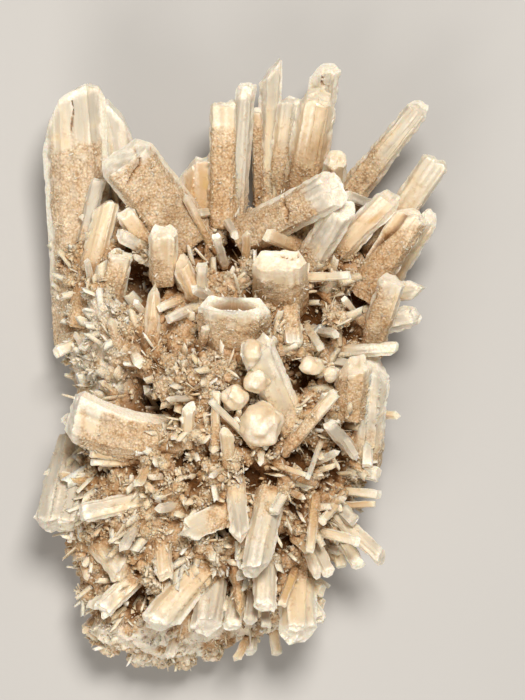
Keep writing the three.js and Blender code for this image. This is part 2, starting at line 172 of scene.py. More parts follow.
RIGHT_FAN = [
    ((26, 40.4, 20), (45.8, 65.2, 27), 6, 5, "rounded", "half", 1.35),
    ((33.2, 26.5, 17), (49.9, 51.3, 25), 7.4, 6, "flat", "half"),
    ((25, 28, 26), (39, 42, 32), 7, 6, "rounded", "honey"),
    ((31, 17, 24), (44.5, 38, 31), 9, 7, "chipped", "sandy"),
    ((37, 18, 19), (48.8, 37.4, 25), 5, 5, "slant_right", "bare"),
    ((32.5, 2, 26), (38.5, 21, 34), 7, 6, "flat", "sandy"),
    ((34, 17, 18), (46.5, 19, 23), 5, 4, "wedge", "bare"),
    ((31, 9.7, 18), (45.4, 12, 24), 6.5, 6, "rounded", "white"),
    ((26, 2.5, 30), (39.4, 3.4, 36), 3.6, 2.2, "slant_right", "snow"),
    ((14, 21, 32), (27.4, 21.6, 37), 2.6, 2, "flat", "bare"),
]
MIDDLE = [
    ((10.5, 13, 24), (10, 25.4, 45), 13.5, 7.5, "flat", "cap"),
    ((12, 17, 30), (13.2, 3.3, 36), 4.6, 4, "flat", "sandy"),
    ((-9, 13.5, 30), (-9.3, 24.5, 38), 3.2, 3, "flat", "bare"),
    ((-9, 12, 28), (-15, 26, 37), 5, 4, "slant_left", "tan"),
    ((-9, 15, 30), (-18.3, 10.5, 38), 3, 3, "flat", "milky"),
    ((-15, 15.5, 30), (-20, 13.2, 36), 2.4, 2, "flat", "bare"),
    ((-22, 2, 28), (-21, 19.5, 35), 3.2, 4, "wedge", "tan", 2.4),
    ((-4, 24, 32), (-6, 31.3, 38), 2.5, 2.2, "flat", "white"),
    ((-5, 38.5, 26), (-1, 31.2, 36), 2.6, 2.4, "chipped", "milky"),
    ((16.5, 8.8, 32), (20, 3.3, 38), 2.5, 2.2, "flat", "bare"),
    ((18, 8, 32), (24, 6.8, 38), 2.6, 2, "chipped", "milky"),
    ((31.5, 8.5, 30), (25.6, 15.8, 38), 1.8, 1.6, "flat", "tan"),
    ((12.5, -16, 28), (3.2, 5.4, 44), 9, 7.5, "flat", "white"),
    ((4.5, -21.5, 34), (-7.4, -9.1, 43), 1.9, 1.8, "flat", "bare"),
    ((-6.3, -25.5, 34), (-5.8, -7, 43), 2.6, 2.2, "flat", "tan"),
    ((-2.3, -26.5, 34), (-3.2, -16.3, 42), 4, 2.6, "slant_right", "tan"),
    ((-13, -20.5, 32), (-12.3, -10.3, 40), 4, 3, "chipped", "bare"),
    ((11, -22.5, 33), (23.7, -7.6, 42), 3.3, 2.8, "flat", "sandy"),
]
LEFT_SIDE = [
    ((-14, -18.5, 28), (-41.8, -12.3, 37), 13.5, 9.5, "flat", "horn", 0.8),
    ((-39, 5.5, 20), (-46.3, 2, 24), 3.5, 3, "flat", "bare"),
    ((-36, 8, 24), (-39.5, 3, 29), 2.6, 2.2, "flat", "milky"),
    ((-27.5, 5, 28), (-24.5, -0.7, 35), 3, 2.6, "chipped", "white"),
    ((-41.4, -19, 18), (-45.4, -42.4, 26), 13.5, 8, "chipped", "combed", 0.62),
    ((-18, -33, 28), (-39.8, -37.6, 35), 5, 4.5, "flat", "bare"),
    ((-27, -23.5, 30), (-37.3, -22.5, 35), 2.5, 2.2, "flat", "tan"),
    ((-28, -25, 29), (-37, -24.8, 33), 2, 1.8, "flat", "bare"),
    ((-38, -19, 22), (-43.7, -13.6, 27), 3.5, 3, "flat", "white"),
]
LOWER_LEFT = [
    ((-38.5, -40, 18), (-27.5, -53.2, 30), 9, 6, "slant_left", "tan"),
    ((-40.5, -37, 18), (-42.9, -45.3, 22), 1.2, 1, "flat", "bare"),
    ((-23, -51, 24), (-35.2, -62.8, 31), 5.5, 5, "flat", "bare"),
    ((-30, -61.5, 14), (-39.2, -69.8, 15), 6, 5, "flat", "tan"),
    ((-19.8, -41.5, 28), (-18.3, -53.9, 36), 4.8, 4, "flat", "tan"),
    ((-6.5, -48, 25), (-21.6, -66.7, 37), 9, 7, "slant_left", "bare"),
    ((-7, -52, 22), (-8.8, -67.7, 33), 8, 6, "chipped", "milky"),
    ((0, -56, 22), (-2.5, -66.5, 31), 4.8, 4, "flat", "bare"),
    ((-3, -37, 34), (-16, -43.2, 41), 6.5, 2.5, "wedge", "leaf"),
]
LOWER_MIDDLE = [
    ((20.5, -19, 33), (16.7, -28.7, 41), 1.4, 1.2, "flat", "bare"),
    ((9, -25.6, 33), (17.5, -28.1, 40), 1.3, 1.1, "flat", "bare"),
    ((8, -32, 31), (3.5, -52.7, 43), 7.5, 6, "slant_left", "bare"),
    ((-1, -28.5, 32), (0.5, -44.7, 42), 5, 4, "wedge", "bare"),
    ((6.8, -49, 27), (6.5, -61.7, 38), 6, 5, "flat", "bare"),
    ((4, -56, 24), (2.5, -65, 33), 3.6, 2.2, "chipped", "milky"),
    ((6, -58, 24), (6.5, -66, 31), 3, 2, "flat", "milky"),
    ((-1, -48, 28), (0.3, -63.2, 34), 1.4, 2.4, "wedge", "brown", 2.8),
    ((13.5, -52, 25), (10.3, -60.3, 34), 2.6, 2.2, "flat", "tan"),
    ((14, -53, 18), (14.5, -69.2, 31), 10, 8, "chipped", "bare"),
    ((12.5, -55, 16), (19.7, -65.8, 25), 6, 5, "flat", "bare"),
    ((13, -55.3, 16), (21.2, -57.6, 23), 4, 3.4, "flat", "honey"),
    ((13, -59, 14), (21, -61.1, 20), 3.5, 3, "flat", "honey"),
    ((7.5, -62, 12), (9.3, -74.5, 14), 3.2, 3, "flat", "tan"),
    ((3, -64, 12), (2.5, -74.2, 15), 3.6, 3, "chipped", "bare"),
]
LOWER_RIGHT = [
    ((31, -26, 18), (33.2, 1.3, 31), 10.5, 9, "slant_right", "layered", 0.8),
    ((27, -13, 26), (28, 0.8, 36), 9, 7, "slant_left", "sandy"),
    ((32, -16, 20), (31.6, -26.4, 26), 3.2, 3, "flat", "white"),
    ((24, -26.8, 18), (34.9, -28.3, 25), 4, 3.5, "flat", "bare"),
    ((22, -32, 18), (35.2, -33.1, 24), 2.8, 2.6, "flat", "bare"),
    ((20, -36.5, 18), (34, -35.6, 23), 2, 1.8, "flat", "tan"),
    ((23, -34.5, 20), (28.7, -39.8, 29), 4, 3, "flat", "milky"),
    ((19.6, -34.5, 20), (36.4, -50, 29), 4.2, 4, "slant_left", "bare"),
    ((17, -41.7, 24), (29.3, -44.6, 35), 3, 2.6, "flat", "bare"),
    ((18.7, -33.3, 29), (17.2, -46.8, 39), 2.6, 2.4, "flat", "tan"),
    ((23, -40, 16), (30.3, -51.4, 24), 4, 3.4, "flat", "bare"),
    ((22, -40, 16), (25.6, -51.9, 22), 3, 2.6, "flat", "tan"),
    ((18, -43, 20), (22.5, -53.2, 30), 3.6, 2.2, "chipped", "bare"),
    ((16, -44, 22), (19.5, -53.5, 31), 3, 2.2, "chipped", "bare"),
    ((28, -22, 27), (22, -15, 38), 3.8, 3, "flat", "milky"),
    ((27, -32, 22), (20.2, -39.8, 34), 2.6, 2.2, "flat", "tan"),
    ((14.3, -27, 31), (8.3, -37.2, 40), 3, 2.5, "flat", "bare"),
]
REGIONS = [
    UPPER_LEFT, TOP_FAN, RIGHT_FAN, MIDDLE, LEFT_SIDE, LOWER_LEFT, LOWER_MIDDLE, LOWER_RIGHT,
]
HOLLOW_BLADE = ((-2, 1, 24), (-1.5, 14.6, 46), 18, 10, "flat", "tube")
HOLLOW_DEPTH = 6.0  # of its opening
HOLLOW_FLAT = 0.3  # flat share of its width
HOLLOW_EDGE = 0.55  # longest edge of its mesh
HOLLOW_HALF = (0.78, 0.44)  # of the blade's half width and half thickness

# Rounded nodules: x, y, z of the middle and the three half sizes
NODULES = [
    (18, -0.7, 36, 3.4, 2.4, 5), (22.7, -2.7, 35, 2.4, 1.8, 4.5), (4.5, -4.5, 41, 3.3, 3.1, 4),
    (-1.5, -8.5, 38.5, 3.4, 2.9, 4.5), (5.5, -15.5, 37, 5.4, 5.6, 6), (3.5, 2.5, 43, 2.8, 3, 4),
    (24, 11, 31, 2.6, 3, 5), (-10, -3, 34, 10, 6, 5.5), (-17, -6, 33, 5, 4.5, 5),
    (-25, -74, 10, 3.6, 3.4, 6), (-14, -73.8, 9, 3.8, 3.9, 6), (-20, -73.6, 12, 3.8, 3.1, 5),
    (-7, -72.4, 9, 3.6, 3.2, 6), (-33, -71, 12, 3.2, 3.1, 5),
]
SANDY_NODULES = (6, 7, 8)
CRUST_NODULES = (9, 10, 11, 12, 13)
NODULE_POINTS = 15
NODULE_EDGE = 0.6
NODULE_ROUND = 0.35  # how far its flat faces are drawn out to an egg

# Small crystals that the solid has too: least length and width, and what chance adds
DRUSE_COUNT = 60
DRUSE_LENGTH = (4, 6.5)
DRUSE_WIDTH = (1.5, 1.6)
DRUSE_SINK = 2
DRUSE_FINISHES = ("bare", "tan", "sandy", "milky")

FACE_SHARE = 0.55  # flat share of a blade's width
ROOT_SINK = 1.5  # least depth of a root below the mound's surface
CRYSTAL_EDGE = 0.84  # longest edge of a crystal's mesh on its upper side
SMALL_EDGE = 1.1  # the same on the small crystals
UNDER_COARSE = 1.9  # how much longer edges may be on the under side
BURIED_COARSE = 9  # the same where it is buried
SEEN_DEPTH = 2.0  # what lies deeper below the mound's surface is buried
REFINE_ROUNDS = 26
LAMELLAE = 4  # thin plates across a wide crystal, each with its own end
LAMELLA_WIDTH = 4.0  # least width of a crystal that shows them
END_BREAK = 0.9  # how far a plate may stay back
LEAF_BREAK = 3.6  # the same on a serrated leaf

FLAKE_COUNT = 3500
NEEDLE_COUNT = 420
STAR_COUNT = 260
STAR_POINTS = 11
LEAF_COUNT = 560
SHARD_COUNT = 280
CLUMP_COUNT = 950
CLUMP_KNOBS = 11
ROOT_SHADE = 0.6  # how much painted shade darkens the roots of the druse
TIP_WHITE = 0.55  # the most chalk on the tips of the small blades
FLANK_PALE = 0.75  # how much less painted shade and brown there is on the left flank
COAT_FLAKES = 1500
COAT_GRAINS = 15000
MOUND_GRAINS = 6400
COAT_GRAIN_SIZE = (0.1, 0.27)
MOUND_GRAIN_SIZE = (0.18, 0.5)
GRAIN_UNDER_SHADE = 0.1  # how much painted shade darkens the grains below


# Numbers and noise

# Noise by name: the size of its lumps in millimetres, and its seed
LUMPS = {
    "swell": (9, 5), "dust": (0.8, 4), "crust": (4, 6), "flank": (3, 52), "large_clod": (6, 1),
    "small_clod": (2.3, 2), "step": (1.1, 12), "streak": (0.9, 14), "fine_streak": (0.35, 15),
    "wear": (2.6, 16), "fine_wear": (1, 29), "sand_edge": (3.1, 17), "fine_edge": (1.1, 18),
    "patch": (2.2, 19), "patch_streak": (1.6, 20), "speckle": (0.85, 30), "rim": (1.8, 21),
    "tip": (1.7, 22), "tip_patch": (1.2, 35), "fibre": (0.8, 51), "layer": (1.4, 43),
    "plate": (1.6, 46), "coat": (0.75, 23), "coat_lump": (1.7, 24), "nick": (1.6, 36),
    "break": (1.8, 25), "fine_break": (0.9, 37), "opening": (3.2, 26), "lip": (1.3, 44),
    "brown": (1.5, 42), "tint_streak": (1.3, 27), "cloud": (7, 28), "honey": (2.4, 41),
    "crack_x": (2.2, 38), "crack_y": (2.2, 39), "crease": (2.6, 31), "rough_crease": (1.9, 31),
    "nodule_dust": (1, 32), "nodule_swell": (2.8, 49), "nodule_white": (2.2, 34),
    "nodule_tint": (2.5, 45), "clump": (1.1, 48),
}
# The channels of the repeatable chances, the first ones as in the solid
CHANNELS = {
    "lean": 1, "push": 2, "length": 4, "width": 5, "turn": 6, "rise": 7, "finish": 8, "step": 11,
    "step_side": 13, "white": 40, "plate": 47, "tint": 50, "slant": 53,
}
HASH_STEPS = np.array([73856093, 19349663, 83492791])
HASH_FACTOR = 1274126177


def chance(n, name):
    """A repeatable number from 0 to 1 for item n, one for each channel."""
    turn = math.sin(n * 12.9898 + CHANNELS[name] * 78.233) * 43758.5453
    return turn - math.floor(turn)


def mixed_bits(cell):
    """A well mixed whole number for each cell of a grid."""
    mixed = cell @ HASH_STEPS
    return (mixed ^ (mixed >> 13)) * HASH_FACTOR


def eased(share):
    return share * share * (3 - 2 * share)


def ramp(values, low, high):
    """0 below low, 1 above high, smooth between."""
    return eased(np.clip((np.asarray(values, float) - low) / (high - low), 0, 1))


def noise(points, name):
    """Smooth noise from 0 to 1."""
    size, seed = LUMPS[name]
    grid = points / size + 31.7 * (seed + 1)
    cell = np.floor(grid).astype(np.int64)
    part = eased(grid - cell)
    total = np.zeros(len(grid))
    for corner in itertools.product((0, 1), repeat=3):
        mixed = mixed_bits(cell + corner)
        value = ((mixed ^ (mixed >> 16)) & 0xFFFF) / 0xFFFF
        total += value * np.prod(np.where(corner, part, 1 - part), axis=1)
    return total


def wave(points, name):
    """The same noise from -0.5 to 0.5."""
    return noise(points, name) - 0.5


def cells(points, name):
    """Distance to the nearest of many scattered points, in lump sizes: lumps with creases between."""
    size, seed = LUMPS[name]
    grid = points / size + 17.3 * (seed + 1)
    cell = np.floor(grid).astype(np.int64)
    nearest = np.full(len(grid), 9.0)
    for corner in itertools.product((-1, 0, 1), repeat=3):
        there = cell + corner
        mixed = mixed_bits(there)
        offset = np.stack([((mixed >> shift) & 0x3FF) / 0x3FF for shift in (4, 15, 26)], axis=1)
        nearest = np.minimum(nearest, np.linalg.norm(there + offset - grid, axis=1))
    return nearest


def unit(vectors):
    return vectors / np.maximum(np.linalg.norm(vectors, axis=-1, keepdims=True), 1e-9)


# Batches: points in millimetres, triangles, and the values that the material reads at each point

# The last value is painted shade in creases, pits, cracks and openings, at roots and under small pieces,
# with some real brown on the sand
VALUES = ("sand", "chalk_and_highlight", "tint", "hollow")


def join(batches):
    """One batch from several."""
    counts = np.cumsum([0] + [len(b["points"]) for b in batches])
    joined = {key: np.concatenate([b[key] for b in batches]) for key in ("points", "local", *VALUES)}
    joined["tris"] = np.concatenate([b["tris"] + n for b, n in zip(batches, counts)])
    return joined


def repeat_shape(shapes, tris, values):
    """One batch from the points of many like shapes, the triangles of one, and a value for each."""
    count, corners = shapes.shape[:2]
    points = above_floor(shapes.reshape(-1, 3))
    batch = {key: np.repeat(values[key], corners) for key in VALUES}
    batch["points"] = points
    batch["tris"] = (tris[None] + corners * np.arange(count)[:, None, None]).reshape(-1, 3)
    batch["local"] = points * SMALL_GRAIN
    return batch


def above_floor(points):
    """Points, lifted to the floor where they would lie below it."""
    return np.column_stack([points[:, :2], np.maximum(points[:, 2], 0)])


def face_normals(points, tris):
    a, b, c = (points[tris[:, i]] for i in range(3))
    return np.cross(b - a, c - a)


def point_normals(points, tris):
    normals = np.zeros_like(points)
    faces = face_normals(points, tris)
    for i in range(3):
        np.add.at(normals, tris[:, i], faces)
    return unit(normals)


def scatter(batch, count, weight):
    """Places, normals and values at random on a batch, by area times the weight at its points."""
    points, tris = batch["points"], batch["tris"]
    faces = face_normals(points, tris)
    share = np.linalg.norm(faces, axis=1) * weight[tris].mean(axis=1)
    chosen = rng.choice(len(tris), count, p=share / share.sum())
    mix = rng.dirichlet((1, 1, 1), count)
    corner = tris[chosen]
    places = np.einsum("ij,ijk->ik", mix, points[corner])
    values = {key: np.einsum("ij,ij->i", mix, batch[key][corner]) for key in VALUES}
    return places, unit(faces[chosen]), values


# The mound

LOWEST_RING = -0.72  # where the ball is cut off below, as an angle
CLOD_HEIGHT = 2.4
CLOD_SETTLE = 2.0  # how far the clods lie inside the smooth mound
DUST_HEIGHT = 0.5
MOUND_GRAIN = 0.5  # how fine the material's streaks are on the mound and its nodules
RIM_ANGLES, RIM_RADII = np.array(sorted(
    (math.atan2(y - MOUND_CENTRE[1], x - MOUND_CENTRE[0]), math.dist((x, y), MOUND_CENTRE))
    for x, y in MOUND_OUTLINE
)).T


def rim_radius(angle):
    return np.interp(angle, RIM_ANGLES, RIM_RADII, period=2 * math.pi)


def crown_height(x, y, share):
    crown = np.sqrt(np.maximum(0, 1 - share**CROWN_POWER))
    swell = 1.6 * np.sin(x / 6.5 + 0.7) * np.sin(y / 7.5 - 0.3) + 0.9 * np.sin((x + y) / 4.3)
    return RIM_HEIGHT + crown * (MOUND_RISE + swell)


def pit_depth(x, y):
    depths = [
        depth * np.exp(-((x - pit_x) ** 2 + (y - pit_y) ** 2) / radius**2)
        for pit_x, pit_y, radius, depth in PITS
    ]
    return np.max(depths, axis=0)


def ground_height(x, y):
    dx, dy = x - MOUND_CENTRE[0], y - MOUND_CENTRE[1]
    share = np.hypot(dx, dy) / rim_radius(np.arctan2(dy, dx))
    return crown_height(x, y, share) - pit_depth(x, y)


def depth_below(points):
    """How deep points lie below the mound's surface."""
    return ground_height(points[:, 0], points[:, 1]) - points[:, 2]


def flank_share(points):
    """1 on the left flank, where the druse is paler and more leafy, 0 elsewhere."""
    x, y = points[:, 0], points[:, 1]
    return ramp(-x, 20, 34) * ramp(y, -16, -6) * (1 - ramp(y, 12, 24))


def paled(brown, points):
    """How much painted shade and brown points get: less on the left flank."""
    return brown * (1 - FLANK_PALE * flank_share(points))


def mound_places():
    """Points of a ball moved out to the rim and up to the crown, and how deep the hollows are there."""
    turns = np.linspace(-math.pi, math.pi, MOUND_SIDES, endpoint=False)
    levels = np.linspace(LOWEST_RING, math.pi / 2, MOUND_RINGS)
    lift, turn = (a.ravel() for a in np.meshgrid(levels, turns, indexing="ij"))
    level, ring = np.sin(lift), np.cos(lift)
    below = level < 0
    share = np.where(below, np.maximum(ring, 0) ** UNDERCUT_POWER, ring)
    reach = share * rim_radius(turn)
    x = MOUND_CENTRE[0] + reach * np.cos(turn)
    y = MOUND_CENTRE[1] + reach * np.sin(turn)
    crown = crown_height(x, y, np.minimum(share, 1))
    pits = np.where(below, 0, pit_depth(x, y))
    z = np.where(below, RIM_HEIGHT + level * UNDERCUT_DEPTH, crown) - pits
    return np.stack([x, y, z], axis=1), pits


def mound_batch():
    """The mound with its clods, a white crust at its lower edge, and painted shade in the creases
    between the clods and in its hollows.
    """
    points, pits = mound_places()
    tris = grid_triangles(MOUND_RINGS, MOUND_SIDES)
    normals = point_normals(points, tris)
    large, small = cells(points, "large_clod"), cells(points, "small_clod")
    lumps = 0.9 - 1.9 * large**2 + 0.5 * (0.5 - 1.4 * small**2) + 0.5 * wave(points, "swell")
    out = CLOD_HEIGHT * lumps - CLOD_SETTLE + DUST_HEIGHT * wave(points, "dust")
    points = above_floor(points + normals * out[:, None])
    crust = ramp(-points[:, 1], 63, 69) * ramp(noise(points, "crust"), 0.3, 0.5)
    pale = flank_share(points) * ramp(noise(points, "flank"), 0.3, 0.6)
    # Painted shade in the creases between the clods and deeper in the pits
    hollow = np.clip(ramp(-lumps, -0.45, 0.6) + ramp(pits, 1, 6), 0, 1)
    return {
        "points": points,
        "tris": tris,
        "sand": 1 - 0.7 * crust,
        # A little whiter on the tops of the clods, white on the crust and paler on the left flank
        "chalk_and_highlight": np.max([0.25 * ramp(lumps, 0.6, 1.1), 0.8 * crust, 0.55 * pale], axis=0),
        "tint": np.full(len(points), 0.5),
        "hollow": hollow * (1 - 0.8 * crust) * (1 - 0.85 * pale),
        "local": points * MOUND_GRAIN,
    }


def grid_triangles(rings, sides):
    """Triangles of a closed grid of rings, with both ends shut."""
    ring, side = (a.ravel() for a in np.indices((rings - 1, sides)))
    a, b = ring * sides + side, ring * sides + (side + 1) % sides
    c, d = a + sides, b + sides
    fan = np.arange(1, sides - 1)
    none = np.zeros_like(fan)
    top = (rings - 1) * sides
    parts = [(a, b, d), (a, d, c), (none, fan + 1, fan), (none + top, top + fan, top + fan + 1)]
    return np.concatenate([np.stack(part, axis=1) for part in parts])


# Fine hulls


def fine_hull(points, longest_at):
    """A convex hull cut into small triangles: its points and triangles."""
    bm = bmesh.new()
    for p in points:
        bm.verts.new(p)
    bmesh.ops.remove_doubles(bm, verts=bm.verts, dist=1e-3)
    made = bmesh.ops.convex_hull(bm, input=bm.verts)
    loose = set(made["geom_unused"] + made["geom_interior"])
    bmesh.ops.delete(bm, geom=list(loose), context="VERTS")
    bmesh.ops.dissolve_limit(bm, angle_limit=0.03, verts=bm.verts, edges=bm.edges)
    bmesh.ops.triangulate(bm, faces=bm.faces[:])
    return refine(*bmesh_arrays(bm), longest_at)


def bmesh_arrays(bm):
    """The points and triangles of a bmesh, which is freed."""
    bm.verts.index_update()
    points = np.array([v.co for v in bm.verts])
    tris = np.array([[v.index for v in f.verts] for f in bm.faces])
    bm.free()
    return points, tris


def refine(points, tris, longest_at):
    """Halves the longest sides of triangles until none is longer than allowed at its place."""
    for _ in range(REFINE_ROUNDS):
        ends = np.sort(np.stack([tris, np.roll(tris, -1, axis=1)], axis=2), axis=2)
        keys, where = np.unique(ends[..., 0] * len(points) + ends[..., 1], return_inverse=True)
        where = where.reshape(tris.shape)
        first, last = points[keys // len(points)], points[keys % len(points)]
        middle = (first + last) / 2
        size = np.linalg.norm(last - first, axis=1)
        longest = np.zeros(len(keys), bool)
        longest[np.take_along_axis(where, np.argmax(size[where], axis=1)[:, None], axis=1)] = True
        cut = longest & (size > longest_at(middle))
        if not cut.any():
            break
        number = np.where(cut, len(points) + np.cumsum(cut) - 1, -1)
        points = np.concatenate([points, middle[cut]])
        tris = split(tris, number[where])
    return points, tris


def split(tris, mids):
    """Triangles cut at the new points on their sides; -1 where a side has none."""
    cuts = (mids >= 0).sum(axis=1)
    parts = [tris[cuts == 0]]
    leads = {1: np.argmax(mids >= 0, axis=1), 2: (np.argmax(mids < 0, axis=1) + 1) % 3, 3: 0 * cuts}
    for count, lead in leads.items():
        chosen = cuts == count
        turn = (lead[chosen][:, None] + np.arange(3)) % 3
        a, b, c = np.take_along_axis(tris[chosen], turn, axis=1).T
        ab, bc, ca = np.take_along_axis(mids[chosen], turn, axis=1).T
        pieces = {
            1: [(a, ab, c), (ab, b, c)],
            2: [(a, ab, c), (ab, b, bc), (ab, bc, c)],
            3: [(a, ab, ca), (ab, b, bc), (ca, bc, c), (ab, bc, ca)],
        }
        parts += [np.stack(piece, axis=1) for piece in pieces[count]]
    return np.concatenate(parts)


# Crystals

Finish = namedtuple("Finish", "tint sand rim white rim_side")
UNDER_SHARE = 0.15  # of the thickness: what lies further back is the under side
STREAK_STRETCH = 0.07  # how much lengths count for the streaks' noise, so that streaks run long
FULL_SIZE = 5.0  # thickness from which steps have their full height
STEP_HEIGHT = 0.5
STREAK_HEIGHT = 0.22
FINE_STREAK_HEIGHT = 0.12
WEAR_HEIGHT = 0.36
RELIEF_SETTLE = 0.3  # how far the relief lies inside the smooth blade
LAYERED = ("layered", "combed")
LAYER_HEIGHT = 0.9
LAYERS = 2.3  # in a half width
PLATE_HEIGHT = 0.45
CRACK_DEPTH = 0.9
NICK_DEPTH = 0.3
TIP_BREAK = 0.7
WHOLE_ENDS = ("tube", "great", "cap", "slab", "horn")  # finishes whose plates end together
PLATE_REACH = 5.0  # how far down from the tip the plates' ends differ


def crystal_frame(root, tip):
    """Root, length and the axes along, across and to the front of a crystal."""
    root, tip = np.array(root, float), np.array(tip, float)
    root[2] = min(root[2], ground_height(root[0], root[1]) - ROOT_SINK)
    along = tip - root
    length = np.linalg.norm(along)
    along = along / length
    across = unit(np.cross(along, (0, 0, 1)))
    return root, length, along, across, np.cross(across, along)


def hull_points(row, index, flat):
    """Corner points of a six-sided blade with an end of its own."""
    root_at, tip_at, width, thick, end = row[:5]
    spread = row[6] if len(row) > 6 else 1
    root, length, along, across, front = crystal_frame(root_at, tip_at)
    tip = root + length * along

    def place(start, back, u, v, share):
        return start - along * back + (across * u * width + front * v * thick) * share / 2

    def depth_at(u):
        return min(1, (1 - abs(u)) / (1 - flat))

    lean = (chance(index, "lean") - 0.3) * 0.5 * thick
    points = []
    for u, side in itertools.product((-1, -flat, flat, 1), (-1, 1)):
        points.append(place(root, 0, u, side * depth_at(u), spread))
    for (u, back), side in itertools.product(ENDS[end], (-1, 1)):
        v = side * depth_at(u)
        points.append(place(tip, back * width / 2 + max(0, lean * v), u, v, 1))
    return points


def crystal_places(row, index, flat, edge):
    """A crystal's fine hull, and where its points lie along, across and in front of its axis."""
    width, thick, end, finish = row[2:6]
    root, length, along, across, front = crystal_frame(row[0], row[1])

    def longest_at(places):
        under = (places - root) @ front < -UNDER_SHARE * thick
        coarse = np.where(under, UNDER_COARSE, 1)
        return edge * np.where(depth_below(places) > SEEN_DEPTH, BURIED_COARSE, coarse)

    points, tris = fine_hull(hull_points(row, index, flat), longest_at)
    normals = point_normals(points, tris)
    s, a, f = ((points - root) @ axis for axis in (along, across, front))
    u = a / (width / 2)
    to_tip = length - s
    return SimpleNamespace(
        points=points, tris=tris, normals=normals, along=along, across=across, index=index,
        finish=finish, look=Finish(*FINISHES[finish]), length=length, width=width,
        size=min(1, thick / FULL_SIZE), s=s, u=u, v=f / (thick / 2), to_tip=to_tip,
        to_edge=to_tip - np.interp(u, *zip(*ENDS[end])) * width / 2,
        local=np.stack([a, f, s * STREAK_STRETCH], axis=1) + index * 9.7,
        side=1 - np.abs(normals @ along),
    )


def sand_coat(at):
    """Sand from the root up to a ragged edge, thinner in patches, with specks above it."""
    length, share = at.length, at.look.sand
    clear = at.finish in FULL_COAT
    top = length * (share + (0 if clear else SAND_SLANT * (chance(at.index, "slant") - 0.5) * at.u))
    fade = length * (CLEAR_FADE if clear else SAND_FADE)
    ragged = wave(at.points, "sand_edge") * min(length * 0.4, 9) + wave(at.points, "fine_edge") * 3
    sand = 1 - ramp(at.s + ragged - top, -fade - SAND_BORDER, SAND_BORDER)
    patches = ramp(noise(at.points, "patch") + 0.5 * noise(at.local, "patch_streak"), 0.4, 0.66)
    least = 0.4 if share < 0.6 else 0.72
    sand = sand * (least + (1 - least) * patches) * THIN_SAND.get(at.finish, 1)
    specks = ramp(noise(at.points, "speckle"), 0.7, 0.8) * ramp(at.to_tip, 1.5, 0.3 * length + 2)
    return np.maximum(sand, 0.55 * specks * (at.finish != "snow"))


def white_places(at, sand):
    """White along the edges, partly real chalk and partly a painted highlight, at the tip, and in fibres
    where there is no sand.
    """
    look, length = at.look, at.length
    rim_at = np.abs(at.u) if look.rim_side == 0 else look.rim_side * at.u
    inner = 1 - look.rim
    band = ramp(rim_at + 0.2 * wave(at.points, "rim"), inner - 0.06, inner + 0.06)
    strength = 0 if look.rim == 0 else 0.75 if look.rim < 0.2 else 1
    # White rims along the edges: partly real chalk, partly a painted highlight where the edges catch the
    # light
    rims = band * strength * ramp(at.s, 0.1 * length, 0.45 * length)
    tip = 1 - ramp(at.to_edge + 2.0 * wave(at.points, "tip"), 0.3 * look.white, look.white)
    tip = tip * (0.35 + 0.65 * chance(at.index, "white"))
    tip = tip * (0.55 + 0.45 * ramp(noise(at.points, "tip_patch"), 0.35, 0.55))
    tip = np.minimum(1, tip * (1.6 if look.white > 3 else 1))
    fibres = 0.55 * ramp(noise(at.local, "fibre"), 0.56, 0.74) * ramp(at.s, 0.3 * length, 0.7 * length)
    return np.max([rims, tip, fibres * (1 - sand)], axis=0)


def plate_shares(at):
    """A number from 0 to 1 for each of the thin plates that a wide crystal is made of."""
    place = (at.u + 0.3 * wave(at.local, "plate")) * LAMELLAE / 2
    plate = np.floor(place + 10 * chance(at.index, "plate"))
    shows = at.width > LAMELLA_WIDTH and at.finish != "great"
    return (plate * 0.618 + at.index * 0.377) % 1 * shows


def crystal_relief(at, plates):
    """How far the surface stands out: a cleavage step, streaks, wear, layers and plates."""
    step_at = 1.6 * (chance(at.index, "step") - 0.5) + 0.5 * wave(at.local, "step")
    step = ramp(np.sign(chance(at.index, "step_side") - 0.5) * (at.u - step_at), -0.04, 0.08)
    streaks = STREAK_HEIGHT * wave(at.local, "streak")
    streaks = streaks + FINE_STREAK_HEIGHT * wave(at.local, "fine_streak")
    worn = (wave(at.points, "wear") + 0.4 * wave(at.points, "fine_wear")) * WORN.get(at.finish, 0.8)
    relief = (STEP_HEIGHT * at.size * step + streaks) * at.side
    relief = relief + WEAR_HEIGHT * worn - RELIEF_SETTLE * at.size
    if at.finish in LAYERED:
        layers = (LAYERS * at.u + 0.25 * noise(at.local, "layer")) % 1 - 0.5
        relief = relief + LAYER_HEIGHT * layers * at.side
    relief = relief + PLATE_HEIGHT * at.size * (plates - 0.5) * at.side
    return relief * min(1, at.width / 3)


def broken_off(at, plates):
    """How far the end stays back: chips at the tip, and plates of different length."""
    chips = ramp(noise(at.local * (1, 1, 5), "break"), 0.46, 0.56)
    chips = chips + 0.6 * noise(at.local * (1, 1, 6), "fine_break") ** 2
    most = TIP_BREAK * WORN.get(at.finish, 1) * min(1, at.width / 6)
    back = most * chips * ramp(2.4 - at.to_tip, 0, 2.2)
    if at.finish in WHOLE_ENDS:
        return back
    longest = LEAF_BREAK if at.finish == "leaf" else END_BREAK * min(1, at.width / 8)
    return back + longest * plates * ramp(PLATE_REACH - at.to_tip, 0, PLATE_REACH)


def moved_across(at):
    """How far points move to the side: nicks in the edges, and the sag of the horn-like blade."""
    nick = ramp(np.abs(at.u), 0.72, 1) * ramp(noise(at.points, "nick"), 0.5, 0.75)
    inward = np.sign(at.u) * NICK_DEPTH * WORN.get(at.finish, 1) * min(1, at.width / 5) * nick
    if at.finish != "horn":
        return -inward
    return -inward - HORN_BEND * np.sin(math.pi * np.clip(at.s / at.length, 0, 1))


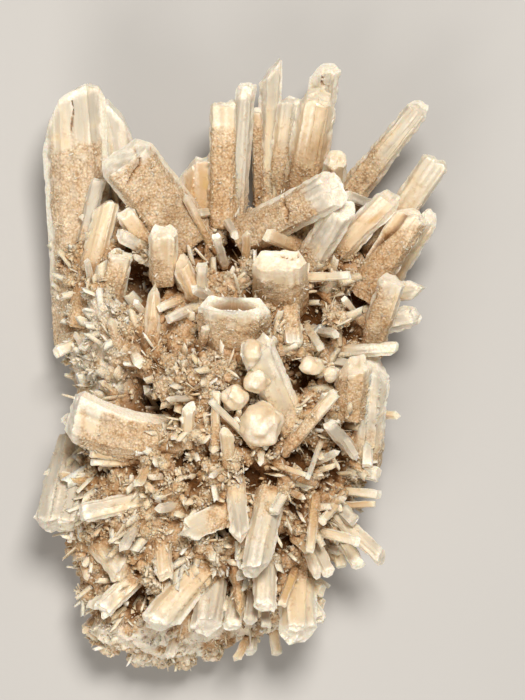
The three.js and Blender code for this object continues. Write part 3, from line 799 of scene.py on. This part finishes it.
def opening_depth(at):
    """How deep the opening of the tube-shaped blade is; 0 on all other crystals."""
    if at.finish != "tube":
        return np.zeros(len(at.points))
    cup = np.abs(at.u / HOLLOW_HALF[0]) ** 1.4 + np.abs(at.v / HOLLOW_HALF[1]) ** 1.3
    sunk = HOLLOW_DEPTH * ramp(1.0 - cup + 0.1 * wave(at.points, "opening"), 0, 0.75)
    return sunk * (at.to_tip < 2.5)


def crystal_batch(row, index, flat=FACE_SHARE, edge=CRYSTAL_EDGE):
    """A crystal with its relief, its worn end, its coat of sand and its white places, and painted shade
    where it goes into the mound, in its cracks and in its opening.
    """
    at = crystal_places(row, index, flat, edge)
    sand = sand_coat(at)
    chalk_and_highlight = white_places(at, sand)
    sand = sand * (1 - 0.85 * chalk_and_highlight)
    crack = crack_depth(at.points) * ramp(at.normals[:, 2], 0.1, 0.4)
    plates = plate_shares(at)
    grit = 0.2 + 0.36 * (noise(at.points, "coat") - 0.4) + 0.4 * wave(at.points, "coat_lump")
    out = crystal_relief(at, plates) + sand * grit - CRACK_DEPTH * crack
    sunk = opening_depth(at)
    back = broken_off(at, plates) + sunk
    moved = at.points + np.outer(moved_across(at), at.across) - np.outer(back, at.along)
    if at.finish == "tube":
        lip = 0.95 * (1 - ramp(at.to_edge + 1.2 * wave(at.points, "lip"), 1.8, 3.0))
        chalk_and_highlight = np.maximum(chalk_and_highlight, lip) * (1 - ramp(sunk, 1.0, 3.0))
    buried = ramp(depth_below(at.points), -1.0, 1.5)
    warm = ROOT_WARM * max(0, at.look.tint - 0.2) * (1 - at.s / at.length)
    warm = warm + 0.3 * ramp(cells(at.points, "brown"), 0.6, 0.9)
    # Painted shade where the crystal is buried, in its cracks and inside the opening; real browner sand
    # towards the roots and in patches
    brown = 0.45 * buried + 0.75 * crack + 0.6 * ramp(sunk, 1.0, 4) + warm * sand
    return {
        "points": above_floor(moved + at.normals * out[:, None]),
        "tris": at.tris,
        "sand": np.maximum(sand, buried),
        "chalk_and_highlight": chalk_and_highlight * (1 - buried),
        "tint": crystal_tint(at),
        "hollow": paled(np.clip(brown, 0, 1), at.points),
        "local": at.local,
    }


def crystal_tint(at):
    """The tint along a crystal, in its streaks, in clouds, and in the honey spots."""
    x, y = at.points[:, 0], at.points[:, 1]
    base = at.look.tint + 0.24 * (chance(at.index, "tint") - 0.55) + 0.36 * (0.45 - at.s / at.length)
    clouds = 0.22 * wave(at.local, "tint_streak") + 0.3 * wave(at.points, "cloud")
    spots = [ramp(1.25 - np.hypot((x - px) / a, (y - py) / b), 0, 0.5) for px, py, a, b in HONEY_SPOTS]
    spotted = np.max(spots, axis=0) * ramp(noise(at.points, "honey"), 0.25, 0.7)
    return np.clip(base + clouds + 0.24 * spotted, 0, 1)


def crack_depth(points):
    """1 in the middle of a crack, 0 beside it."""
    depth = np.zeros(len(points))
    bent = np.stack([wave(points, "crack_x"), wave(points, "crack_y")], axis=1)
    flat = points[:, :2] + 0.9 * bent
    for half, run in CRACKS:
        for first, last in zip(np.array(run), np.array(run)[1:]):
            share = np.clip((flat - first) @ (last - first) / np.sum((last - first) ** 2), 0, 1)
            away = np.linalg.norm(flat - first - share[:, None] * (last - first), axis=1)
            depth = np.maximum(depth, 1 - ramp(away, 0.3 * half, 1.6 * half))
    return depth


def druse_row(index):
    """The small crystal of that number, as a row like those of the large ones."""
    share = 0.99 * math.sqrt((index + 0.5) / DRUSE_COUNT)
    angle = (index * GOLDEN_ANGLE + math.pi) % (2 * math.pi) - math.pi
    reach = share * float(rim_radius(angle))
    x = MOUND_CENTRE[0] + reach * math.cos(angle)
    y = MOUND_CENTRE[1] + reach * math.sin(angle)
    length = DRUSE_LENGTH[0] + DRUSE_LENGTH[1] * chance(index, "length")
    width = DRUSE_WIDTH[0] + DRUSE_WIDTH[1] * chance(index, "width")
    turn = angle + (chance(index, "turn") - 0.5) * 2.4
    rise = 1.3 * (1 - share) + 0.9 * chance(index, "rise") - 0.1
    out = length / math.hypot(1, rise)
    ground = float(ground_height(x, y))
    tip = (x + out * math.cos(turn), y + out * math.sin(turn), ground + rise * out)
    finish = DRUSE_FINISHES[int(len(DRUSE_FINISHES) * chance(index, "finish"))]
    return (x, y, ground - DRUSE_SINK), tip, width, width, "spear", finish


# Nodules

# What they are like: noise and height of their creases, height of their dust, their sand, the share
# of their white places that shows, and how much painted shade darkens their creases
NODULE_LOOKS = {
    "clean": ("crease", 0.6, 0.2, 0.05, 1, 0.15),
    "sandy": ("rough_crease", 1.7, 0.5, 1.0, 0, 0.9),
    "crust": ("rough_crease", 1.7, 0.5, 0.5, 1, 0.6),
}
NODULE_SWELL = 2.2


def nodule_points(nodule, index):
    """Corners of a nodule: points spread over an egg and pushed in or out a little."""
    corners = []
    for i in range(NODULE_POINTS):
        level = 1 - (2 * i + 1) / NODULE_POINTS
        ring = math.sqrt(1 - level * level)
        angle = i * GOLDEN_ANGLE + index
        push = 0.86 + 0.28 * chance(index * NODULE_POINTS + i, "push")
        egg = np.array((ring * math.cos(angle), ring * math.sin(angle), level)) * nodule[3:]
        corners.append(push * egg + nodule[:3])
    return corners


def nodule_batch(nodule, index):
    """A rounded nodule, cream with white places, or a lump under sand or crust."""
    def longest_at(places):
        return NODULE_EDGE * np.where(depth_below(places) > SEEN_DEPTH, BURIED_COARSE, 1)

    kind = "sandy" if index in SANDY_NODULES else "crust" if index in CRUST_NODULES else "clean"
    crease_noise, crease_height, dust_height, sand, white_share, crease_shade = NODULE_LOOKS[kind]
    points, tris = fine_hull(nodule_points(nodule, index), longest_at)
    middle, half = np.array(nodule[:3]), np.array(nodule[3:])
    points = points + NODULE_ROUND * (middle + unit((points - middle) / half) * half - points)
    normals = point_normals(points, tris)
    creases = cells(points, crease_noise) ** 2
    push = crease_height * (0.45 - creases) + dust_height * wave(points, "nodule_dust")
    push = push + NODULE_SWELL * wave(points, "nodule_swell")
    points = above_floor(points + normals * push[:, None])
    buried = ramp(depth_below(points), -1.5, 1) * (kind != "crust")
    white = (0.12 + 0.6 * ramp(noise(points, "nodule_white"), 0.4, 0.7)) * (1 - buried)
    return {
        "points": points,
        "tris": tris,
        "sand": np.minimum(1, sand + 0.8 * buried),
        "chalk_and_highlight": white_share * white,
        "tint": 0.22 + 0.3 * noise(points, "nodule_tint"),
        # Painted shade in the creases and where the nodule goes into the mound
        "hollow": np.clip(0.5 * buried + crease_shade * ramp(creases, 0.45, 0.85), 0, 1),
        "local": points * MOUND_GRAIN,
    }


# Flakes, needles and grains, made together as arrays

SMALL_GRAIN = 0.6  # how fine the material's streaks are on small pieces
LITTLE_ROOT_SHADE = 0.15  # how much painted shade darkens the roots of the cleaner blades
BLADE_RING = [(-1, 0), (0, -1), (1, 0), (0, 1)]
BLADE_TAPER = 0.72
BLADE_SLANT = 0.24  # how far the corners of an end differ, in lengths
BLADE_SINK = 0.25  # how deep a blade stands in its ground, in lengths


def blade_triangles():
    """Triangles of a four-sided blade: its walls and its end."""
    walls = [[(i, (i + 1) % 4, (i + 1) % 4 + 4), (i, (i + 1) % 4 + 4, i + 4)] for i in range(4)]
    return np.array([*itertools.chain(*walls), (4, 5, 7), (5, 6, 7)])


def spears_batch(places, aims, lengths, widths, thicks, values, root_shade=LITTLE_ROOT_SHADE):
    """Small blades with a slanted end, one at each place, darkened at their roots with painted shade."""
    count = len(places)
    aims = unit(aims)
    across = unit(np.cross(aims, unit(rng.normal(size=(count, 3)))))
    front = np.cross(aims, across)
    corners = []
    for share, grow in ((0, 1), (1, BLADE_TAPER)):
        for a, f in BLADE_RING:
            back = BLADE_SLANT * (a * rng.uniform(-1, 1, count) + 1) if share else 0
            at = places + aims * (lengths * (share - back) - BLADE_SINK * lengths * (1 - share))[:, None]
            at = at + across * (a * grow * widths / 2)[:, None]
            corners.append(at + front * (f * grow * thicks / 2)[:, None])
    batch = repeat_shape(np.stack(corners, axis=1), blade_triangles(), values)
    tip = np.tile(np.repeat((0.0, 1.0), 4), count)
    batch["chalk_and_highlight"] = np.clip(batch["chalk_and_highlight"] + TIP_WHITE * tip * np.repeat(rng.random(count), 8), 0, 1)
    # Painted shade: the roots darker than the tips
    brown = np.where(tip > 0, 0.25 * batch["hollow"], root_shade + batch["hollow"])
    batch["hollow"] = paled(np.clip(brown, 0, 1), batch["points"])
    return batch


def small_values(values, count, sand, tint, chalk_and_highlight, brown=(0, 1)):
    """Values at small pieces: ranges of sand and tint, the most chalk, and from their ground's painted
    shade and brown the least that they have and the share that they take."""
    return {
        "sand": rng.uniform(*sand, count),
        "tint": rng.uniform(*tint, count),
        "chalk_and_highlight": np.maximum(chalk_and_highlight * rng.random(count) ** 4, 0.9 * values["chalk_and_highlight"]),
        "hollow": brown[0] + brown[1] * values["hollow"],
    }


def repeat_values(values, times):
    return {key: np.repeat(value, times) for key, value in values.items()}


def open_weight(mound):
    """Where the druse grows: on what faces out or up, thinner in the hollows and on the crust."""
    normals = point_normals(mound["points"], mound["tris"])
    facing = 0.08 + 0.92 * ramp(normals[:, 2], -0.2, 0.5)
    return (1.1 - 0.72 * mound["hollow"]) * facing * (1 - 0.4 * ramp(mound["chalk_and_highlight"], 0.3, 0.6))


def spread(directions, amount):
    """Directions, each turned a little at random."""
    return directions + amount * rng.normal(size=directions.shape)


def outward(places, normals):
    """Directions away from the root of the cluster, leaning to the normals."""
    return unit(places - np.array((*MOUND_CENTRE, 0.0))) + 0.5 * normals


def side_share(places, normals):
    """1 on what faces up, less on the sides and at the lower edge, where small blades are shorter."""
    upward = 0.45 + 0.55 * ramp(normals[:, 2], 0.1, 0.7)
    return upward * (1 - 0.45 * ramp(-places[:, 1], 60, 68))


def flakes_batch(mound):
    """The druse: small blades all over the mound, thicker on its lumps."""
    places, normals, values = scatter(mound, FLAKE_COUNT, open_weight(mound))
    lengths = 0.7 + 1.0 * rng.random(FLAKE_COUNT) ** 2 + 1.6 * rng.random(FLAKE_COUNT) ** 8
    lengths = lengths * side_share(places, normals)
    aims = spread(normals, 0.7)
    widths = lengths * rng.uniform(0.5, 0.95, FLAKE_COUNT)
    thicks = widths * rng.uniform(0.4, 0.9, FLAKE_COUNT)
    values = small_values(values, FLAKE_COUNT, (0.6, 1), (0.35, 0.6), 0.6, (0.4, 0.6))
    return spears_batch(places, aims, lengths, widths, thicks, values, ROOT_SHADE)


def needles_batch(mound):
    """Thin needles that stand out of the druse."""
    upward = ramp(point_normals(mound["points"], mound["tris"])[:, 2], 0.4, 0.8)
    places, normals, values = scatter(mound, NEEDLE_COUNT, open_weight(mound) * upward)
    lengths = rng.uniform(1.6, 3.2, NEEDLE_COUNT) + 2.0 * rng.random(NEEDLE_COUNT) ** 4
    aims = spread(normals, 0.8)
    widths = rng.uniform(0.25, 0.5, NEEDLE_COUNT)
    values = small_values(values, NEEDLE_COUNT, (0.3, 0.7), (0.4, 0.7), 0.5)
    return spears_batch(places, aims, lengths, widths, widths, values)


def stars_batch(mound):
    """Star-like tufts of pale blades that spread from one point."""
    weight = open_weight(mound) * (1 - mound["hollow"])
    places, normals, values = scatter(mound, STAR_COUNT, weight)
    count = STAR_COUNT * STAR_POINTS
    sizes = rng.uniform(1.8, 4.0, STAR_COUNT) * side_share(places, normals)
    lengths = np.repeat(sizes, STAR_POINTS) * rng.uniform(0.6, 1.1, count)
    aims = spread(np.repeat(normals, STAR_POINTS, axis=0), 0.95)
    widths = lengths * rng.uniform(0.35, 0.65, count)
    values = repeat_values(values, STAR_POINTS)
    values = small_values(values, count, (0.6, 1), (0.3, 0.55), 0.7, (0.4, 0.6))
    roots = np.repeat(places, STAR_POINTS, axis=0)
    return spears_batch(roots, aims, lengths, widths, 0.4 * widths, values, ROOT_SHADE)


def leaves_batch(mound):
    """Thin broad blades, paler than the druse they stand in, most of them on the left flank."""
    weight = open_weight(mound) * (1 + 0.9 * flank_share(mound["points"]))
    places, normals, values = scatter(mound, LEAF_COUNT, weight)
    lengths = rng.uniform(3.2, 7.6, LEAF_COUNT) * side_share(places, normals)
    aims = spread(outward(places, normals), 0.4)
    widths = lengths * rng.uniform(0.32, 0.62, LEAF_COUNT)
    values = small_values(values, LEAF_COUNT, (0.2, 0.8), (0.2, 0.5), 0.9, (0, 0.4))
    return spears_batch(places, aims, lengths, widths, 0.22 * widths, values)


def shards_batch(mound):
    """Clean small crystals and broken blades between the large ones, thickest in the lower half."""
    lower = 0.3 + 0.7 * ramp(-mound["points"][:, 1], -10, 25)
    places, normals, values = scatter(mound, SHARD_COUNT, open_weight(mound) * lower)
    lengths = rng.uniform(2.4, 4.8, SHARD_COUNT) + 2.6 * rng.random(SHARD_COUNT) ** 3
    lengths = lengths * side_share(places, normals)
    aims = spread(outward(places, normals), 0.5)
    widths = lengths * rng.uniform(0.3, 0.6, SHARD_COUNT)
    values = small_values(values, SHARD_COUNT, (0.1, 0.7), (0.15, 0.55), 0.9, (0, 0.3))
    thicks = widths * rng.uniform(0.35, 0.8, SHARD_COUNT)
    return spears_batch(places, aims, lengths, widths, thicks, values)


def coat_batch(crystals):
    """Flakes that grow on the sandy stretches of the crystals."""
    weight = np.clip(crystals["sand"] - 0.55, 0, 1)
    places, normals, values = scatter(crystals, COAT_FLAKES, weight)
    lengths = 0.6 + 0.8 * rng.random(COAT_FLAKES) + 1.2 * rng.random(COAT_FLAKES) ** 5
    aims = spread(normals, 0.7)
    widths = rng.uniform(0.3, 0.7, COAT_FLAKES)
    values = small_values(values, COAT_FLAKES, (0.7, 1), (0.25, 0.6), 0.6, (0, 0.4))
    return spears_batch(places, aims, lengths, widths, 0.6 * widths, values)


def knobs_batch(places, normals, sizes, values, root_shade):
    """Small uneven octahedra, one at each place, darkened with painted shade on their under side and
    sides.
    """
    count = len(places)
    first = unit(np.cross(normals, unit(rng.normal(size=(count, 3)))))
    second = np.cross(normals, first)
    spokes = np.stack([first, second, -first, -second, normals, -normals], axis=1)
    reach = sizes[:, None] * rng.uniform(0.7, 1.3, (count, 6))
    caps = [(i, (i + 1) % 4, 4) for i in range(4)] + [((i + 1) % 4, i, 5) for i in range(4)]
    knobs = repeat_shape(places[:, None] + spokes * reach[..., None], np.array(caps), values)
    # Painted shade: most on the point that faces into the ground, some on the sides, none on top
    inward = np.tile((0.4, 0.4, 0.4, 0.4, 0.0, 1.0), count)
    brown = np.clip(knobs["hollow"] * (0.3 + inward) + root_shade * inward, 0, 1)
    knobs["hollow"] = paled(brown, knobs["points"])
    return knobs


def grains_batch(batch, weight, count, smallest, largest):
    """Grains of gypsum sand on a batch."""
    places, normals, values = scatter(batch, count, weight)
    sizes = smallest + (largest - smallest) * rng.random(count) ** 2
    values = small_values(values, count, (0.7, 1), (0.2, 0.7), 0.8)
    return knobs_batch(places, normals, sizes, values, GRAIN_UNDER_SHADE)


def balls_batch(places, normals, radii, values):
    """Lumpy little balls, one at each place, darkened brown below and in their creases with painted
    shade.
    """
    bm = bmesh.new()
    bmesh.ops.create_icosphere(bm, subdivisions=2, radius=1)
    ball, tris = bmesh_arrays(bm)
    shapes = places[:, None] + ball[None] * radii[:, None, None]
    creases = cells(shapes.reshape(-1, 3), "clump") ** 2
    push = 0.7 * (0.4 - creases.reshape(len(places), -1))
    balls = repeat_shape(shapes + ball[None] * push[..., None], tris, values)
    # Painted shade on the under side and in the creases, over a slight golden tone
    below = 1 - ramp((normals @ ball.T).ravel(), -0.4, 0.5)
    brown = 0.15 + 0.6 * balls["hollow"] + ROOT_SHADE * below + 0.7 * ramp(creases, 0.3, 0.8)
    balls["hollow"] = paled(np.clip(brown, 0, 1), balls["points"])
    return balls


def clumps_batch(mound):
    """Round clumps of sugary knobs on the druse."""
    places, normals, values = scatter(mound, CLUMP_COUNT, open_weight(mound))
    sizes = (0.7 + 1.5 * rng.random(CLUMP_COUNT) ** 1.5) * side_share(places, normals)
    ball_values = small_values(values, CLUMP_COUNT, (0.85, 1), (0.3, 0.6), 0.3)
    balls = balls_batch(places, normals, 0.85 * sizes, ball_values)
    count = CLUMP_COUNT * CLUMP_KNOBS
    radii = np.repeat(sizes, CLUMP_KNOBS)
    aims = unit(spread(np.repeat(normals, CLUMP_KNOBS, axis=0), 0.7))
    spots = np.repeat(places, CLUMP_KNOBS, axis=0)
    spots = spots + aims * (radii * rng.uniform(0.75, 1.1, count))[:, None]
    values = small_values(repeat_values(values, CLUMP_KNOBS), count, (0.6, 1), (0.15, 0.5), 0.7)
    # A golden tone from the brown ramp, and part of the ground's painted shade
    values["hollow"] = 0.22 + 0.6 * values["hollow"] * rng.uniform(0.3, 1, count)
    knobs = knobs_batch(spots, aims, radii * rng.uniform(0.16, 0.32, count), values, ROOT_SHADE)
    return join([balls, knobs])


# Materials

# Colours as stops: a place from 0 to 1 and the screen values
BODY_COLORS = [
    (0.0, (198, 190, 174)), (0.14, (210, 200, 180)), (0.32, (228, 210, 178)),
    (0.58, (206, 176, 137)), (0.8, (206, 174, 120)), (1.0, (176, 132, 82)),
]
SAND_COLORS = [
    (0.3, (160, 127, 94)), (0.43, (192, 164, 130)), (0.56, (214, 191, 160)), (0.71, (240, 225, 200)),
]
# White for the chalk and for the painted highlights along the edges
CHALK_AND_HIGHLIGHT_COLORS = [(0.3, (236, 222, 196)), (0.6, (252, 246, 232))]
# Colours of the painted shade, from golden to dark brown, also used for the real brown of the sand
BROWN_AND_SHADE_COLORS = [(0.0, (214, 164, 92)), (0.5, (160, 106, 44)), (1.0, (88, 50, 12))]
FLOOR_COLORS = [(0.3, (182, 181, 179)), (0.7, (188, 187, 185))]
STREAK_SCALE = 2.2
BLOTCH_SCALE = 260
GRIT_SCALE = 1700
CRUMB_SCALE = 1600
CRYSTAL_ROUGHNESS = 0.34
SAND_ROUGHNESS = 0.9
GLOSS = 0.5
BUMP_STRENGTH = 0.75
BUMP_HEIGHT = 0.3  # millimetres
GYPSUM_IOR = 1.52
MILKY_WEIGHT = 0.42
MILKY_DEPTH = 2.2  # millimetres
MILKY_COLOR_DEPTHS = (1.0, 0.56, 0.3)


def linear(red, green, blue):
    """A colour given in screen values from 0 to 255."""
    def channel(value):
        value = value / 255
        return value / 12.92 if value <= 0.04045 else ((value + 0.055) / 1.055) ** 2.4

    return channel(red), channel(green), channel(blue), 1.0


def new_material(name):
    """A material, its nodes and the place on the object."""
    material = bpy.data.materials.new(name)
    material.use_nodes = True
    return material, material.node_tree, new_node(material.node_tree, "TexCoord", "Object")


def connect(tree, value, socket):
    """Links an output to a socket, or sets the socket where the value is the same all over."""
    if isinstance(value, bpy.types.NodeSocket):
        tree.links.new(value, socket)
    else:
        socket.default_value = value


def set_shader(tree, sockets):
    for name, value in sockets.items():
        connect(tree, value, tree.nodes["Principled BSDF"].inputs[name])


def new_node(tree, kind, output, **inputs):
    """An output of a new node with these inputs."""
    node = tree.nodes.new("ShaderNode" + kind)
    for name, value in inputs.items():
        connect(tree, value, node.inputs[name])
    return node.outputs[output]


def attribute(tree, name, output="Fac"):
    node = tree.nodes.new("ShaderNodeAttribute")
    node.attribute_name = name
    return node.outputs[output]


def color_ramp(tree, factor, stops):
    node = tree.nodes.new("ShaderNodeValToRGB")
    elements = node.color_ramp.elements
    while len(elements) < len(stops):
        elements.new(0.5)
    for element, (position, color) in zip(elements, stops):
        element.position = position
        element.color = linear(*color)
    connect(tree, factor, node.inputs["Fac"])
    return node.outputs["Color"]


def mix_color(tree, factor, first, second):
    node = tree.nodes.new("ShaderNodeMix")
    node.data_type = "RGBA"
    for name, value in {"Factor": factor, "A": first, "B": second}.items():
        connect(tree, value, node.inputs[name])
    return node.outputs["Result"]


def math_node(tree, operation, first, second):
    node = tree.nodes.new("ShaderNodeMath")
    node.operation = operation
    connect(tree, first, node.inputs[0])
    connect(tree, second, node.inputs[1])
    return node.outputs["Value"]


def scaled(tree, value, factor):
    return math_node(tree, "MULTIPLY", value, factor)


def noise_texture(tree, vector, scale, detail):
    return new_node(tree, "TexNoise", "Fac", Vector=vector, Scale=scale, Detail=detail)


def gypsum_color(tree, place, streaks, grit, crumbs):
    """Milky to honey crystal with streaks, under beige sand and white places (real chalk, and painted
    highlights along the edges), darkened brown by painted shade in creases and hollows, at roots and
    below, with some real brown on the sand.
    """
    sand, chalk_and_highlight, tint, hollow = (attribute(tree, name) for name in VALUES)
    streaked = scaled(tree, math_node(tree, "SUBTRACT", streaks, 0.5), 0.14)
    body = color_ramp(tree, math_node(tree, "ADD", tint, streaked), BODY_COLORS)
    blotches = scaled(tree, noise_texture(tree, place, BLOTCH_SCALE, 3.0), 0.45)
    sandiness = math_node(tree, "ADD", scaled(tree, grit, 0.6), blotches)
    sandiness = math_node(tree, "ADD", sandiness, 0.12)
    sandiness = math_node(tree, "SUBTRACT", sandiness, scaled(tree, crumbs, 0.3))
    sanded = mix_color(tree, sand, body, color_ramp(tree, sandiness, SAND_COLORS))
    chalked = mix_color(tree, chalk_and_highlight, sanded, color_ramp(tree, grit, CHALK_AND_HIGHLIGHT_COLORS))
    # Painted shade in creases, at roots and on under sides, with some real brown on the sand, mixed over
    # the colour
    brown = color_ramp(tree, hollow, BROWN_AND_SHADE_COLORS)
    return mix_color(tree, scaled(tree, hollow, 0.95), chalked, brown)


def gypsum_bump(tree, sand, streaks, grit, crumbs):
    """Rough where there is sand, finely streaked elsewhere."""
    rough = math_node(tree, "MULTIPLY", math_node(tree, "SUBTRACT", grit, crumbs), sand)
    height = math_node(tree, "ADD", rough, scaled(tree, streaks, 0.4))
    depth = BUMP_HEIGHT * MM
    return new_node(tree, "Bump", "Normal", Height=height, Strength=BUMP_STRENGTH, Distance=depth)


def gypsum_material():
    """Milky crystal that lets a little light in, dull and rough where it is sandy."""
    material, tree, place = new_material("gypsum")
    sand, hollow = attribute(tree, "sand"), attribute(tree, "hollow")
    streaks = noise_texture(tree, attribute(tree, "local", "Vector"), STREAK_SCALE, 4.0)
    grit = noise_texture(tree, place, GRIT_SCALE, 3.0)
    crumbs = new_node(tree, "TexVoronoi", "Distance", Vector=place, Scale=CRUMB_SCALE)
    rougher = scaled(tree, sand, SAND_ROUGHNESS - CRYSTAL_ROUGHNESS)
    set_shader(tree, {
        "Base Color": gypsum_color(tree, place, streaks, grit, crumbs),
        # Less reflection where the painted shade lies, so that it stays dark
        "Specular IOR Level": math_node(tree, "SUBTRACT", GLOSS, scaled(tree, hollow, 0.45)),
        "Roughness": math_node(tree, "ADD", rougher, CRYSTAL_ROUGHNESS),
        "Normal": gypsum_bump(tree, sand, streaks, grit, crumbs),
        "Subsurface Weight": MILKY_WEIGHT,
        "Subsurface Radius": MILKY_COLOR_DEPTHS,
        "Subsurface Scale": MILKY_DEPTH * MM,
        "IOR": GYPSUM_IOR,
    })
    return material


def floor_material():
    material, tree, place = new_material("pale_floor")
    color = color_ramp(tree, noise_texture(tree, place, 6, 2.0), FLOOR_COLORS)
    set_shader(tree, {"Base Color": color, "Roughness": 0.7})
    return material


# Pieces

# Largest angle between faces that are shaded as one smooth surface
MOUND_SMOOTH = math.radians(60)
BLADE_SMOOTH = math.radians(38)
NODULE_SMOOTH = math.radians(50)
ROUND_SMOOTH = math.pi


def add_object(name, data):
    made = bpy.data.objects.new(name, data)
    bpy.context.scene.collection.objects.link(made)
    return made


def make_piece(name, batch, material, smooth_angle=None):
    """A mesh piece from a batch: it rides on the specimen and stands for its solid."""
    mesh = bpy.data.meshes.new(name)
    count = len(batch["tris"])
    mesh.vertices.add(len(batch["points"]))
    mesh.vertices.foreach_set("co", (batch["points"] * MM).astype(np.float32).ravel())
    mesh.loops.add(3 * count)
    mesh.loops.foreach_set("vertex_index", batch["tris"].astype(np.int32).ravel())
    mesh.polygons.add(count)
    mesh.polygons.foreach_set("loop_start", np.arange(0, 3 * count, 3, dtype=np.int32))
    mesh.update(calc_edges=True)
    for key in VALUES:
        layer = mesh.attributes.new(key, "FLOAT", "POINT")
        layer.data.foreach_set("value", batch[key].astype(np.float32))
    layer = mesh.attributes.new("local", "FLOAT_VECTOR", "POINT")
    layer.data.foreach_set("vector", batch["local"].astype(np.float32).ravel())
    mesh.materials.append(material)
    mesh.update()
    if smooth_angle is not None:
        mesh.shade_smooth()
        mesh.set_sharp_from_angle(angle=smooth_angle)
    piece = add_object(name, mesh)
    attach(piece, "root")
    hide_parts(NODE)


def crystal_batches():
    """The crystals of all regions in four batches, and the small ones, by the name of their piece."""
    rows = list(itertools.chain(*REGIONS))
    numbered = [crystal_batch(row, index) for index, row in enumerate(rows)]
    hollow_blade = crystal_batch(HOLLOW_BLADE, len(rows), HOLLOW_FLAT, HOLLOW_EDGE)
    small = [crystal_batch(druse_row(index), index, 0, SMALL_EDGE) for index in range(DRUSE_COUNT)]
    ends = np.cumsum([len(region) for region in REGIONS])
    return {
        "blades_left": join(numbered[: ends[0]]),
        "blades_top": join(numbered[ends[0] : ends[2]]),
        "blades_middle": join(numbered[ends[2] : ends[4]] + [hollow_blade]),
        "blades_lower": join(numbered[ends[4] :]),
        "blades_small": join(small),
    }


def make_bed(mound, material):
    """The mound itself, darker than what grows on it: painted shade in the gaps under the druse, less
    where it is chalky.
    """
    bed_shade = np.clip(mound["hollow"] + 0.45 * (1 - ramp(mound["chalk_and_highlight"], 0.2, 0.5)), 0, 1)
    make_piece("druse_mound", {**mound, "hollow": paled(bed_shade, mound["points"])}, material, MOUND_SMOOTH)


def make_druse(ground, material):
    """What grows on the mound and on its rough nodules."""
    make_piece("druse_flakes", flakes_batch(ground), material)
    blades = [needles_batch(ground), stars_batch(ground), leaves_batch(ground), shards_batch(ground)]
    make_piece("druse_blades", join(blades), material)
    make_piece("druse_clumps", clumps_batch(ground), material, ROUND_SMOOTH)
    grains = grains_batch(ground, open_weight(ground), MOUND_GRAINS, *MOUND_GRAIN_SIZE)
    make_piece("druse_grains", grains, material, ROUND_SMOOTH)


def make_coat(crystals, material):
    """Flakes and grains on the sandy stretches of the crystals and nodules."""
    make_piece("coat_flakes", coat_batch(crystals), material)
    weight = np.clip(crystals["sand"] - 0.4, 0, 1) * (1 - crystals["hollow"])
    grains = grains_batch(crystals, weight, COAT_GRAINS, *COAT_GRAIN_SIZE)
    make_piece("coat_grains", grains, material, ROUND_SMOOTH)


def build_pieces():
    material = gypsum_material()
    mound = mound_batch()
    make_bed(mound, material)
    crystals = crystal_batches()
    for name, batch in crystals.items():
        make_piece(name, batch, material, BLADE_SMOOTH)
    lumps = [nodule_batch(nodule, index) for index, nodule in enumerate(NODULES)]
    nodules = join(lumps)
    make_piece("nodules", nodules, material, NODULE_SMOOTH)
    make_druse(join([mound] + [lumps[index] for index in SANDY_NODULES + CRUST_NODULES]), material)
    make_coat(join([*crystals.values(), nodules]), material)


# Stage: floor, light and camera, in metres

CAMERA_DISTANCE = 1.0
FOCUS_HEIGHT = 0.025  # the level of the blades' outline
VIEW_HEIGHT = 0.175
VIEW_CENTRE = (0.0056, 0.003)
SENSOR_WIDTH = 36.0  # millimetres
FLOOR_SIZE = 6.0
LIGHT_COLOR = (1.0, 0.95, 0.89)
WORLD_COLOR = (1.0, 0.95, 0.88, 1)
WORLD_STRENGTH = 0.18


def add_floor():
    mesh = bpy.data.meshes.new("floor")
    half = FLOOR_SIZE / 2
    corners = [(-half, -half, 0), (half, -half, 0), (half, half, 0), (-half, half, 0)]
    mesh.from_pydata(corners, [], [(0, 1, 2, 3)])
    mesh.materials.append(floor_material())
    floor = add_object("floor", mesh)


def add_light(name, place, size, watts):
    light = bpy.data.lights.new(name, "AREA")
    light.shape = "DISK"
    light.size = size
    light.energy = watts
    light.color = LIGHT_COLOR
    lamp = add_object(name, light)
    lamp.location = place
    lamp.rotation_euler = (-Vector(place)).to_track_quat("-Z", "Y").to_euler()


def add_world():
    world = bpy.data.worlds.new("studio")
    world.use_nodes = True
    background = world.node_tree.nodes["Background"]
    background.inputs["Color"].default_value = WORLD_COLOR
    background.inputs["Strength"].default_value = WORLD_STRENGTH
    bpy.context.scene.world = world


def add_camera():
    data = bpy.data.cameras.new("camera")
    data.sensor_width = SENSOR_WIDTH
    data.lens = data.sensor_width * CAMERA_DISTANCE / VIEW_HEIGHT
    camera = add_object("camera", data)
    camera.location = (*VIEW_CENTRE, CAMERA_DISTANCE + FOCUS_HEIGHT)
    bpy.context.scene.camera = camera


def build_stage():
    add_floor()
    add_light("key", (0.15, 0.45, 1.1), size=0.4, watts=14.8)
    add_light("fill", (-0.35, -0.8, 0.7), size=0.7, watts=6.0)
    add_world()
    add_camera()
    bpy.context.scene.view_settings.view_transform = "Standard"


build_pieces()
build_stage()
